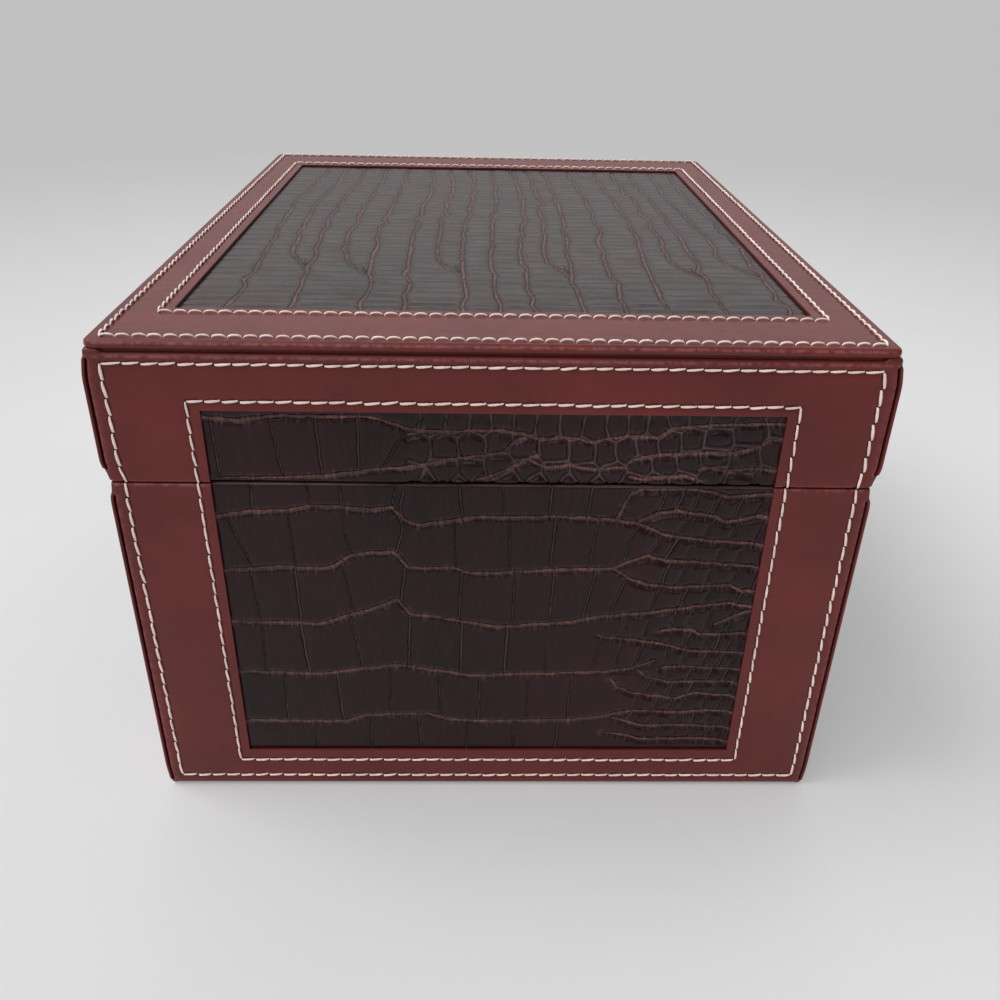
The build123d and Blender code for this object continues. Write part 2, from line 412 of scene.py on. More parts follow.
def simplify_inside(piece, outer_count):
    """Joins the flat faces of a thickened sheet that have none of its first, outer vertices."""
    outer = (np.arange(len(piece.data.vertices)) < outer_count).astype(float)
    with editing_faces(piece, face_mean(piece, outer) < 0.01):
        bpy.ops.mesh.dissolve_limited(angle_limit=math.radians(2), use_dissolve_boundaries=False)


def lattice_noise(u, v, cell, seed, size=64):
    """Smooth noise from 0 to 1 over a plane, with features of one cell, repeated after size cells."""
    table = np.random.default_rng(seed).random((size, size))
    a, b = u / cell, v / cell
    i, j = np.floor(a).astype(int), np.floor(b).astype(int)
    fa, fb = ease(a - i), ease(b - j)
    i0, j0, i1, j1 = i % size, j % size, (i + 1) % size, (j + 1) % size
    low = table[i0, j0] * (1 - fa) + table[i1, j0] * fa
    high = table[i0, j1] * (1 - fa) + table[i1, j1] * fa
    return low * (1 - fb) + high * fb


def distance_to_line(u, v, points):
    """Distance from each place to a bent line, and how far along the line the nearest point is."""
    nearest = np.full(u.shape, np.inf)
    along = np.zeros(u.shape)
    travelled = 0.0
    for (u0, v0), (u1, v1) in zip(points, points[1:]):
        du, dv = u1 - u0, v1 - v0
        length = math.hypot(du, dv)
        share = np.clip(((u - u0) * du + (v - v0) * dv) / (length * length), 0, 1)
        away = np.hypot(u - u0 - share * du, v - v0 - share * dv)
        closer = away < nearest
        nearest = np.where(closer, away, nearest)
        along = np.where(closer, travelled + share * length, along)
        travelled += length
    return nearest, along


# Materials


def fill(tree, made, values):
    """Links the sockets given for a node's inputs, and sets the plain values on the inputs themselves."""
    for key, value in values.items():
        if isinstance(value, bpy.types.NodeSocket):
            tree.links.new(value, made.inputs[key])
        else:
            made.inputs[key].default_value = value


def node(tree, kind, inputs=None, **settings):
    made = tree.nodes.new(kind)
    for key, value in settings.items():
        setattr(made, key, value)
    fill(tree, made, inputs or {})
    return made


def ramp(tree, factor, stops):
    """Colour ramp from a list of places and colours."""
    made = node(tree, "ShaderNodeValToRGB", {"Fac": factor})
    elements = made.color_ramp.elements
    while len(elements) < len(stops):
        elements.new(0.5)
    for element, (place, colour) in zip(elements, stops):
        element.position = place
        element.color = colour
    return made.outputs["Color"]


def grey(value):
    return (value, value, value, 1.0)


def mix_colour(tree, factor, first, second, blend="MIX"):
    settings = {"data_type": "RGBA", "blend_type": blend}
    return node(tree, "ShaderNodeMix", {0: factor, 6: first, 7: second}, **settings).outputs[2]


def maths(tree, operation, first, second=0.0, clamp=False):
    made = node(tree, "ShaderNodeMath", {0: first, 1: second}, operation=operation, use_clamp=clamp)
    return made.outputs[0]


def times(tree, first, second, clamp=False):
    return maths(tree, "MULTIPLY", first, second, clamp)


def fade(tree, factor, *stops):
    """Ramp between grey levels."""
    return ramp(tree, factor, [(place, grey(level)) for place, level in stops])


def full_colour(colour, strength=1.0):
    return (colour[0] * strength, colour[1] * strength, colour[2] * strength, 1.0)


def noise(tree, place, scale, detail=4.0, roughness=0.55):
    return node(
        tree, "ShaderNodeTexNoise",
        {"Vector": place, "Scale": scale, "Detail": detail, "Roughness": roughness},
    ).outputs["Fac"]


def attribute(tree, name):
    return node(tree, "ShaderNodeAttribute", attribute_name=name).outputs["Fac"]


def map_range(tree, value, low, high, start=0.0, stop=1.0, **settings):
    ends = {"Value": value, "From Min": low, "From Max": high, "To Min": start, "To Max": stop}
    return node(tree, "ShaderNodeMapRange", ends, **settings).outputs["Result"]


def stretched(tree, place, scale):
    return node(tree, "ShaderNodeMapping", {"Vector": place, "Scale": scale}).outputs["Vector"]


def bump(tree, height, strength, distance, under=None, invert=False):
    """Normal of a bump by height, laid over an earlier one."""
    inputs = {"Height": height, "Strength": strength, "Distance": distance}
    if under is not None:
        inputs["Normal"] = under
    return node(tree, "ShaderNodeBump", inputs, invert=invert).outputs["Normal"]


def paint_smooth_leather(tree, shader, place):
    """Smooth aniline calf: fine pores, cloudy colour, painted shade in the needle holes, and a painted
    highlight along the rounded edges, partly broken into rubbed wear.
    """
    tone = colours().smooth_leather
    cloud = noise(tree, place, 26.0, 5.0)
    mottle = noise(tree, place, 240.0, 3.0)
    colour = ramp(tree, cloud, [(0.35, full_colour(tone, 0.86)), (0.68, full_colour(tone, 1.16))])
    colour = mix_colour(tree, 0.7, colour, fade(tree, mottle, (0.3, 0.9), (0.7, 1.08)), "MULTIPLY")
    edge = attribute(tree, "edge")
    rubbed = fade(tree, noise(tree, place, 520.0, 6.0), (0.40, 0.0), (0.58, 1.0))
    wear_and_highlight = times(tree, edge, rubbed, True)
    # Painted highlight: the rounded edges that the edge attribute marks are lightened evenly, then in rubbed
    # patches that are partly wear and partly painted highlight.
    colour = mix_colour(tree, times(tree, edge, 0.45), colour, full_colour(tone, 1.5))
    colour = mix_colour(tree, times(tree, wear_and_highlight, 0.30), colour, full_colour((0.48, 0.24, 0.22)))
    run = maths(tree, "FRACT", maths(tree, "ADD", attribute(tree, "hole_run"), 0.5))
    from_hole = maths(tree, "ABSOLUTE", maths(tree, "SUBTRACT", run, 0.5))
    from_hole = times(tree, from_hole, sizes().stitch_pitch * 1000)
    across = times(tree, attribute(tree, "hole_off"), 1000.0)
    squares = maths(tree, "ADD", times(tree, from_hole, from_hole), times(tree, across, across))
    # Painted shade in each needle hole; the same mask also presses the hole in as a bump.
    hole = fade(tree, maths(tree, "SQRT", squares), (0.25, 1.0), (0.62, 0.0))
    colour = mix_colour(tree, times(tree, hole, 0.85), colour, full_colour(tone, 0.10))
    pores = node(tree, "ShaderNodeTexVoronoi", {"Vector": place, "Scale": 1500.0}).outputs["Distance"]
    grain = bump(tree, pores, 0.18, 0.00025)
    soft = bump(tree, noise(tree, place, 90.0, 6.0, 0.6), 0.25, 0.0006, grain)
    fill(tree, shader, {
        "Base Color": colour,
        "Roughness": fade(tree, mottle, (0.3, 0.40), (0.75, 0.52)),
        "Specular IOR Level": 0.22,
        "Coat Weight": 0.22,
        "Coat Roughness": 0.34,
        "Normal": bump(tree, hole, 0.8, 0.0007, soft, invert=True),
    })


def paint_embossed_leather(tree, shader, place):
    """Glazed crocodile-embossed leather: near-black scales, reddish cords in the folds between, painted
    shade beside the folds and cuts, and a painted highlight along the rim of the base panels.
    """
    tone = colours().embossed_leather
    dark = (tone[0] * 0.62, tone[1] * 0.95, tone[2] * 0.95, 1)
    fold, cut = attribute(tree, "fold_away"), attribute(tree, "cut_away")
    run = attribute(tree, "run")
    near_fold, near_cut, wide_fold = times(tree, fold, 0.5), times(tree, cut, 0.5), times(tree, fold, 0.2)
    along = node(tree, "ShaderNodeCombineXYZ", {"X": run, "Y": times(tree, fold, 0.22)}).outputs["Vector"]
    wrinkle = noise(tree, along, 1.15, 3.0)
    cloud = noise(tree, place, 17.0, 4.0)
    colour = ramp(tree, cloud, [(0.34, dark), (0.64, full_colour(tone, 1.4))])
    fibres = noise(tree, stretched(tree, place, (1.0, 1.0, 0.22)), 620.0, 4.0)
    colour = mix_colour(tree, fade(tree, fibres, (0.48, 0.0), (0.78, 0.5)), colour, full_colour(tone, 2.6))

    faded = fade(tree, noise(tree, place, 45.0, 2.0), (0.36, 0.5), (0.60, 1.0))
    uneven = times(tree, fade(tree, wrinkle, (0.36, 0.40), (0.58, 1.0)), faded)
    cord = fade(tree, near_fold, (0.17, 0.95), (0.42, 0.0))
    thin = times(tree, fade(tree, near_cut, (0.07, 0.80), (0.22, 0.0)), faded)
    hanging = times(
        tree, fade(tree, wide_fold, (0.0, 0.7), (0.6, 0.0)), fade(tree, wrinkle, (0.52, 0.0), (0.60, 1.0)),
    )
    lines = maths(tree, "MAXIMUM", times(tree, cord, uneven), thin)
    lines = maths(tree, "MAXIMUM", lines, times(tree, hanging, 0.75))
    rope = {"X": times(tree, run, 0.5), "Y": times(tree, fold, 4.0)}
    rope = node(tree, "ShaderNodeCombineXYZ", rope).outputs["Vector"]
    strands = fade(tree, noise(tree, rope, 1.0, 3.0), (0.40, 0.38), (0.56, 1.0))
    tint = times(tree, times(tree, lines, strands), attribute(tree, "crease"), True)

    # Painted shade in the grooves beside each fold, and a dark ring of painted shade on both sides of each
    # thin cut line.
    shade = fade(tree, near_fold, (0.20, 1.0), (0.36, 0.3), (0.75, 1.0))
    colour = mix_colour(tree, 0.85, colour, shade, "MULTIPLY")
    ring = fade(tree, near_cut, (0.10, 1.0), (0.22, 0.25), (0.60, 1.0))
    colour = mix_colour(tree, 0.8, colour, ring, "MULTIPLY")
    # Painted highlight along the rounded rim of the base panels, made patchy by the cloud noise.
    wear_and_highlight = times(tree, attribute(tree, "edge"), fade(tree, cloud, (0.35, 0.25), (0.6, 0.8)))
    colour = mix_colour(tree, wear_and_highlight, colour, full_colour((0.16, 0.105, 0.11)))
    on_cord = fade(tree, cord, (0.0, 0.0), (0.3, 1.0))
    line = mix_colour(tree, on_cord, full_colour((0.15, 0.088, 0.088)), full_colour(colours().crease))
    colour = mix_colour(tree, tint, colour, line)

    gloss = fade(tree, noise(tree, place, 70.0, 5.0), (0.3, 0.20), (0.7, 0.32))
    groove = fade(tree, near_fold, (0.06, 0.66), (0.28, 0.0), (0.55, 1.0))
    notch = fade(tree, near_cut, (0.02, 0.55), (0.16, 0.0), (0.32, 1.0))
    rucks = times(tree, wrinkle, fade(tree, wide_fold, (0.0, 1.0), (0.75, 0.0)))
    pores = node(tree, "ShaderNodeTexVoronoi", {"Vector": place, "Scale": 1300.0}).outputs["Distance"]
    normal = None
    for height, strength, distance in (
        (fibres, 0.14, 0.0003), (groove, 0.8, 0.0004), (notch, 0.8, 0.0004), (rucks, 0.7, 0.0006),
        (noise(tree, place, 900.0, 3.0), 0.16, 0.0003), (pores, 0.10, 0.00015),
    ):
        normal = bump(tree, height, strength, distance, normal)
    fill(tree, shader, {
        "Base Color": colour,
        "Roughness": maths(tree, "ADD", gloss, times(tree, tint, 0.25), True),
        "Specular IOR Level": 0.24,
        "Normal": normal,
    })


def paint_thread(tree, shader, place):
    """Waxed cream thread with its ply."""
    tone = colours().thread
    dirt = noise(tree, place, 160.0, 4.0)
    fill(tree, shader, {
        "Base Color": ramp(tree, dirt, [(0.35, full_colour(tone, 0.82)), (0.65, full_colour(tone, 1.05))]),
        "Roughness": 0.62,
        "Sheen Weight": 0.15,
        "Normal": bump(tree, noise(tree, place, 2600.0, 2.0), 0.3, 0.0002),
    })


def paint_suede(tree, shader, place, tone):
    """Short-napped cloth with brushed lighter and darker patches."""
    brushed = noise(tree, place, 14.0, 6.0, 0.6)
    nap = noise(tree, place, 1500.0, 2.0)
    colour = ramp(tree, brushed, [(0.35, full_colour(tone, 0.92)), (0.66, full_colour(tone, 1.09))])
    fill(tree, shader, {
        "Base Color": mix_colour(tree, 0.8, colour, fade(tree, nap, (0.3, 0.82), (0.7, 1.12)), "MULTIPLY"),
        "Roughness": 0.95,
        "Sheen Weight": 0.45,
        "Sheen Roughness": 0.4,
        "Specular IOR Level": 0.2,
        "Normal": bump(tree, nap, 0.35, 0.0003),
    })


def paint_lining(tree, shader, place):
    """Tan suede cloth of the linings and pads."""
    paint_suede(tree, shader, place, colours().lining)


def paint_felt(tree, shader, place):
    """Dark felt under the box."""
    paint_suede(tree, shader, place, (0.030, 0.022, 0.020))


def paint_brass(tree, shader, place):
    """Satin brass with fine brushing along the hinges."""
    brushing = noise(tree, stretched(tree, place, (0.06, 1.0, 1.0)), 4200.0, 3.0)
    tarnish = noise(tree, place, 180.0, 5.0)
    fill(tree, shader, {
        "Base Color": ramp(tree, tarnish, [(0.35, (0.56, 0.36, 0.13, 1)), (0.62, (0.74, 0.53, 0.22, 1))]),
        "Metallic": 1.0,
        "Roughness": fade(tree, brushing, (0.3, 0.24), (0.7, 0.38)),
        "Normal": bump(tree, brushing, 0.12, 0.0001),
    })


def paint_wood(tree, shader, place):
    """Plain pale carcase wood with straight grain."""
    grain = noise(tree, stretched(tree, place, (0.12, 0.12, 1.0)), 420.0, 6.0)
    fill(tree, shader, {
        "Base Color": ramp(tree, grain, [(0.35, (0.42, 0.26, 0.13, 1)), (0.65, (0.60, 0.42, 0.24, 1))]),
        "Roughness": 0.6,
        "Normal": bump(tree, grain, 0.2, 0.0003),
    })


def paint_floor(tree, shader, place):
    """Pale floor that fades into the backdrop some way from the box."""
    tone = colours().floor
    cloud = noise(tree, place, 9.0, 2.0)
    colour = ramp(tree, cloud, [(0.3, full_colour(tone, 0.99)), (0.7, full_colour(tone, 1.01))])
    away = node(tree, "ShaderNodeVectorMath", {0: place}, operation="LENGTH").outputs["Value"]
    far = map_range(tree, away, 0.26, 1.5, interpolation_type="SMOOTHSTEP")
    far = maths(tree, "POWER", far, 0.6, True)
    fill(tree, shader, {
        "Base Color": mix_colour(tree, far, colour, grey(0.0)),
        "Emission Color": mix_colour(tree, far, grey(0.165), grey(BACKDROP)),
        "Emission Strength": 1.0,
        "Roughness": 0.9,
        "Specular IOR Level": 0.0,
    })


PAINTERS = {
    "smooth_leather_finish": paint_smooth_leather,
    "embossed_leather_finish": paint_embossed_leather,
    "cream_thread": paint_thread,
    "tan_suede_cloth": paint_lining,
    "dark_felt": paint_felt,
    "satin_brass": paint_brass,
    "carcase_wood": paint_wood,
    "pale_floor_finish": paint_floor,
}


def material_of(name):
    """The material of that name, painted when it is first asked for."""
    if name not in bpy.data.materials:
        material = bpy.data.materials.new(name)
        material.use_nodes = True
        tree = material.node_tree
        place = node(tree, "ShaderNodeTexCoord").outputs["Object"]
        PAINTERS[name](tree, tree.nodes["Principled BSDF"], place)
    return bpy.data.materials[name]


def give_material(piece, name):
    """Puts one material on a new piece, or in place of those of a solid from the frame."""
    if piece.material_slots:
        for place in piece.material_slots:
            place.material = material_of(name)
    else:
        piece.data.materials.append(material_of(name))


def settle(piece, body, slot, *replaced):
    """Says which body a piece moves with and hides the solids that it stands for; its slot is not used."""
    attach(piece, body)
    if replaced:
        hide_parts(*replaced)


def finish(piece, angle, material, body, slot, *replaced):
    """Turns a closed piece out, smooths it, and gives it its material and its body."""
    face_outward(piece)
    smooth(piece, angle)
    give_material(piece, material)
    settle(piece, body, slot, *replaced)


# Rows of stitches, as bent lines along a wall and away from the rim


def wall_rows(half, side):
    """Outer and inner row of a wall, each up one side, across and down the other."""
    outer, inner = sizes().outer_row, sizes().inner_row
    reach = wall_half_length(side)
    height, band = half_height(half), half_band(half)
    outer_deep, inner_deep = (0.0046, 0.0033) if half == "lid" else (0.0050, 0.0052)
    rows = []
    for across, deep in (
        (reach - outer, height - outer_deep),
        (reach - WALL_BAND + inner, height - band + inner_deep),
    ):
        rows.append([(-across, 0.0), (-across, deep), (across, deep), (across, 0.0)])
    return rows


def top_window():
    """Half width, front and back of the embossed panel in the top."""
    return TOP_PANEL_HIGH.x - TUCKED, TOP_PANEL_LOW.y + TUCKED, TOP_PANEL_HIGH.y - TUCKED


def top_rows():
    """Outer and inner row of the top, each closed round its border."""
    outer, inner = sizes().top_outer_row, sizes().top_inner_row
    half, front, back = top_window()
    rows = []
    for x, low, high in (
        (HALF_WIDTH - outer, -HALF_DEPTH + outer, HALF_DEPTH - outer),
        (half + inner, front - inner, back + inner),
    ):
        rows.append([(-x, low), (x, low), (x, high), (-x, high), (-x, low)])
    return rows


def row_values(u, v, rows, pitch):
    """Offset from the nearest row of stitches and the count of holes along it."""
    offset = np.full(u.shape, 1.0)
    run = np.zeros(u.shape)
    for row in rows:
        for (u0, v0), (u1, v1) in zip(row, row[1:]):
            length = math.hypot(u1 - u0, v1 - v0)
            holes = max(1, round(length / pitch))
            away, along = distance_to_line(u, v, [(u0, v0), (u1, v1)])
            closer = away < offset
            offset = np.where(closer, away, offset)
            run = np.where(closer, along / length * holes, run)
    return offset, run


# Smooth leather


def lip_fall(distance, reach=0.0042, depth=0.00045):
    """How far padded leather curves away as it nears its edge."""
    share = np.clip((reach - distance) / reach, 0, 1)
    return depth * share * share


def corner_plans(side, reach, window, marks):
    """Plan of a wall's leather at its corner: folded clear of the next wall, and closed against it."""
    straight_end = reach - 0.0042
    face = straight((window, 0), (straight_end, 0), marks + [0.0], 0.0025)
    if side in ("front", "back"):
        edge, fold = reach - 0.0019, 0.0007
        turn = arc((edge - fold, fold), fold, -90, 0, 9)
        tail = (edge, 0.0040)
    else:
        edge, fold = reach - 0.0002, 0.0006
        turn = arc((edge - fold, fold), fold, -90, 90, 9)
        tail = (reach - 0.0046, 2 * fold)
    apart = face + turn + [tail]
    closed = face + arc((reach - 0.0022, 0.0022), 0.0022, -90, -45, 9) + [(reach - 0.0026, 0.0026)]
    return np.array(apart), np.array(closed)


def wall_sections(half, height, band, rows):
    """Upright section of a wall's leather: with a slot under the top, and closed at the corners."""
    rim, inner = 0.0013, 0.0010
    if half == "lid":
        gap, crest = 0.0012, 0.0015
        low = height - gap - crest
        slotted = [(0.0021, height), (0.0020, height - gap)]
        slotted += arc((crest, low), crest, 90, 180, 8)
        closed = [(0.0028, height), (0.0019, height)]
        closed += arc((0.0010, height - 0.0010), 0.0010, 90, 180, 6) + [(0.0, height - 0.0017), (0.0, low)]
    else:
        low = height - 0.0019
        slotted = closed = [(0.0028, height)] + arc((0.0019, low), 0.0019, 90, 180, 8)
    marks = [low - row[1][1] for row in rows] + [low - (height - band)]
    shared = straight((0, low), (0, 0.0095), marks, 0.0022)[1:]
    shared += straight((0, 0.0095), (0, rim), [], 0.0008)[1:-1]
    shared += arc((rim, rim), rim, 180, 270, 8)
    shared += arc((TURN_DEPTH - inner, inner), inner, -90, 0, 5)
    shared += straight((TURN_DEPTH, inner), (TURN_DEPTH, PARTING - TURN_EDGE), [], 0.003)[1:]
    return path_frame(slotted + shared), path_frame(closed + shared)


def make_wall_band(half, side):
    """Smooth leather of one wall: a sheet over the band, round the lips and in over the rim."""
    reach = wall_half_length(side)
    height, band = half_height(half), half_band(half)
    rows = wall_rows(half, side)
    window = reach - WALL_BAND
    apart, closed = corner_plans(side, reach, window, [abs(row[1][0]) - window for row in rows])
    middle = np.array([(-window + 2 * window * k / 60, 0.0) for k in range(1, 60)])
    plans = [np.concatenate([plan[::-1] * (-1, 1), middle, plan]) for plan in (apart, closed)]
    slotted, shut = wall_sections(half, height, band, rows)
    travel = slotted[1]
    sheet, column, row = grid_sheet(f"{half}_{side}_smooth_leather", len(plans[0]), len(travel))
    nominal = plans[1][column, 0]
    slot = ease((reach - 0.0045 - np.abs(nominal)) / 0.0016)[:, None]
    place = slotted[0][row] * slot + shut[0][row] * (1 - slot)
    normal = slotted[2][row] * slot + shut[2][row] * (1 - slot)
    depth, away = place[:, 0], place[:, 1]
    from_top = 0.0026 if half == "lid" else 0.0010
    opened = ease((away - 0.0042) / 0.0012) * ease((height - away - from_top) / 0.0012)
    opened = (opened * (depth < 0.0012))[:, None]
    plan = plans[0][column] * opened + plans[1][column] * (1 - opened)
    s, low = plan[:, 0], plan[:, 1]
    share = np.clip(1 - depth / 0.004, 0.3, 1)
    limit = reach - np.maximum(depth, 0.0026)
    outside = (np.abs(s) > window) & (opened[:, 0] < 0.001)
    squeezed = window + (np.abs(s) - window) * (limit - window) / (reach - 0.0026 - window)
    s = np.where(outside, np.sign(s) * squeezed, s)
    low = low * share
    on_face = (depth < 0.003) & (away > 0.0) & (low < 0.0006)
    offset, run = row_values(s, away, rows, sizes().stitch_pitch)
    edge_gap = np.minimum(reach - np.abs(nominal), height - away)
    fall = lip_fall(edge_gap) * np.clip(1 - depth / 0.001, 0, 1) * np.clip(1 - low / 0.0006, 0, 1)
    valley = sizes().valley_depth * np.exp(-((offset / 0.0011) ** 2)) * on_face
    waves = 0.00018 * (lattice_noise(s + 0.5, away + 0.5, 0.021, len(side) + 7) - 0.5)
    flat = np.clip((edge_gap - 0.003) / 0.004, 0, 1) * np.clip(away / 0.006, 0, 1)
    pressed = 0.00022 * np.clip((depth - 0.0006) / 0.0008, 0, 1) * (1 + 1.6 * ease((0.0055 - depth) / 0.002))
    sink = fall + valley + (waves + 0.00009) * flat * (depth < 0.0005) + pressed * (away < 0.003)
    sink = np.maximum(sink, 0.0) + low
    depth_now = depth + normal[:, 0] * sink
    away_now = away + normal[:, 1] * sink
    place_vertices(sheet, wall_point(side, half, s, depth_now, away_now))
    keep_values(sheet, "hole_off", np.where(on_face, offset, 0.01))
    keep_values(sheet, "hole_run", run)
    # Where the painted highlight of the smooth leather goes: the crest of the rim, the lid's upper lip and
    # the folded corner edges of the front and back.
    crest = np.exp(-(((away - 0.0007) / 0.0004) ** 2)) * (depth < 0.0008)
    if half == "lid":
        upper = np.exp(-(((height - away - 0.0024) / 0.00045) ** 2)) * (depth < 0.0004)
        crest = np.maximum(crest * 0.5, upper)
    folded = 0.8 * np.exp(-(((np.abs(s) - (reach - 0.0022)) / 0.0004) ** 2)) * opened[:, 0] * (low < 0.0008)
    keep_values(sheet, "edge", np.clip(crest + folded * (side in ("front", "back")), 0, 1))
    inside = face_mean(sheet, (np.abs(nominal) < window - 1e-6).astype(float)) > 0.4
    from_window = np.abs(slotted[0][:, 1] - (height - band)) + slotted[0][:, 0] * 10
    open_rows = face_mean(sheet, travel[row]) > travel[np.argmin(from_window)]
    with editing_faces(sheet, inside & open_rows):
        bpy.ops.mesh.delete(type="FACE")
    along_x, along_y = ALONG[side]
    turn_out(sheet, (along_y, -along_x, 0))
    thin = np.clip((np.abs(s) - (reach - 0.010)) / 0.005, 0, 1) * (side in ("left", "right"))
    group = sheet.vertex_groups.new(name="thickness")
    for step in range(6):
        chosen = np.nonzero(np.rint(thin * 5) == step)[0]
        group.add([int(index) for index in chosen], 1.0 - 0.52 * step / 5, "REPLACE")
    outer_count = len(sheet.data.vertices)
    thicken(sheet, "thickness")
    simplify_inside(sheet, outer_count)
    sheet.vertex_groups.clear()
    finish(sheet, 40, "smooth_leather_finish", half, "smooth_leather", f"{half}_{side}_leather")


def border_stations(corner, step=0.004):
    """Places round the top: a bend's middle, the way out from it, and the place on the window's edge."""
    half, front, back = top_window()
    wide, deep = HALF_WIDTH - corner, HALF_DEPTH - corner
    bends = []
    for number, (x, y, window_x, window_y) in enumerate((
        (wide, -deep, half, front), (wide, deep, half, back),
        (-wide, deep, -half, back), (-wide, -deep, -half, front),
    )):
        angles = [math.radians(90 * (number - 1) + 15 * k) for k in range(7)]
        bends.append([(x, y, math.cos(a), math.sin(a), window_x, window_y) for a in angles])
    stations = []
    for bend, following in zip(bends, bends[1:] + bends[:1]):
        start, stop = np.array(bend[-1]), np.array(following[0])
        count = max(1, round(math.dist(bend[-1][:2], following[0][:2]) / step))
        stations += bend + [start + (stop - start) * m / count for m in range(1, count)]
    return np.array(stations)


def make_top_band():
    """Smooth border of the top: one ring over the lip, with the window in its middle."""
    under, upper = 0.0010, 0.0016
    rise = TOP_HIGH.z - TOP_UNDER
    corner = 0.0032
    lip = [(0.006, 0.0)] + arc((under, under), under, -90, -180, 7)
    lip += arc((upper, rise - upper), upper, 180, 90, 14)
    lip_points = np.array(lip)
    round_lip = len(lip_points)
    near_outer = np.array(spaced(0.0, 0.0085, [sizes().top_outer_row - upper], 0.0016)[1:])
    near_window = np.array(spaced(0.0, 0.0080, [sizes().top_inner_row], 0.0016))
    stations = border_stations(corner)
    lines_within = 27
    span_lines = len(near_outer) + lines_within
    sheet, column, row = grid_sheet("lid_top_smooth_leather", len(stations) + 1, round_lip + span_lines)
    ring = column % len(stations)
    centre = stations[ring, 0:2]
    out = stations[ring, 2:4]
    window = stations[ring, 4:6]
    on_lip = row < round_lip
    lip_in = np.where(on_lip, lip_points[np.minimum(row, round_lip - 1), 0], upper)
    height = np.where(on_lip, lip_points[np.minimum(row, round_lip - 1), 1], rise)
    lip_place = centre + out * (corner - lip_in)[:, None]
    start_place = centre + out * (corner - upper)
    inward = np.linalg.norm(window - start_place, axis=1)
    line = np.clip(row - round_lip + 1, 1, span_lines)
    first, last = len(near_outer), span_lines - len(near_window)
    share = (line - first) / (last - first + 1)
    along_band = near_outer[-1] + (inward - near_window[-1] - near_outer[-1]) * share
    along_band = np.where(line <= first, near_outer[np.minimum(line, first) - 1], along_band)
    from_window = near_window[span_lines - np.maximum(line, last + 1)]
    along_band = np.where(line > last, inward - from_window, along_band)
    heading = (window - start_place) / inward[:, None]
    band_place = start_place + heading * along_band[:, None]
    flat = np.where(on_lip[:, None], lip_place, band_place)
    offset, run = row_values(flat[:, 0], flat[:, 1], top_rows(), sizes().top_stitch_pitch)
    edge_gap = np.minimum(HALF_WIDTH - np.abs(flat[:, 0]), HALF_DEPTH - np.abs(flat[:, 1]))
    valley = sizes().valley_depth * np.exp(-((offset / 0.0011) ** 2)) * ~on_lip
    fall = lip_fall(edge_gap - upper, 0.003, 0.0003) * ~on_lip
    waves = 0.0002 * lattice_noise(flat[:, 0] + 0.5, flat[:, 1] + 0.5, 0.024, 3) * (edge_gap > 0.004)
    z = TOP_UNDER + height - valley - fall - waves
    place_vertices(sheet, np.column_stack([flat, z]))
    keep_values(sheet, "hole_off", np.where(on_lip, 0.01, offset))
    keep_values(sheet, "hole_run", run)
    # Where the painted highlight goes: a line along the rounded lip.
    keep_values(sheet, "edge", np.exp(-(((height - rise * 0.66) / 0.00045) ** 2)) * on_lip)
    with editing(sheet):
        bpy.ops.mesh.remove_doubles(threshold=0.000005)
    turn_out(sheet, (0, 0, 1))
    thicken(sheet)
    finish(sheet, 40, "smooth_leather_finish", "lid", "smooth_leather", "lid_top_leather")


class KEEPSAKE_OT_smooth_bands(bpy.types.Operator):
    """Makes the smooth leather bands of the walls and the top"""

    bl_idname = "keepsake.smooth_bands"
    bl_label = "Smooth leather bands"

    def execute(self, context):
        for half in HALVES:
            for side in SIDES:
                make_wall_band(half, side)
        make_top_band()
        return {"FINISHED"}


# Embossed leather, with its folds, cuts and scales drawn in millimetres on each panel

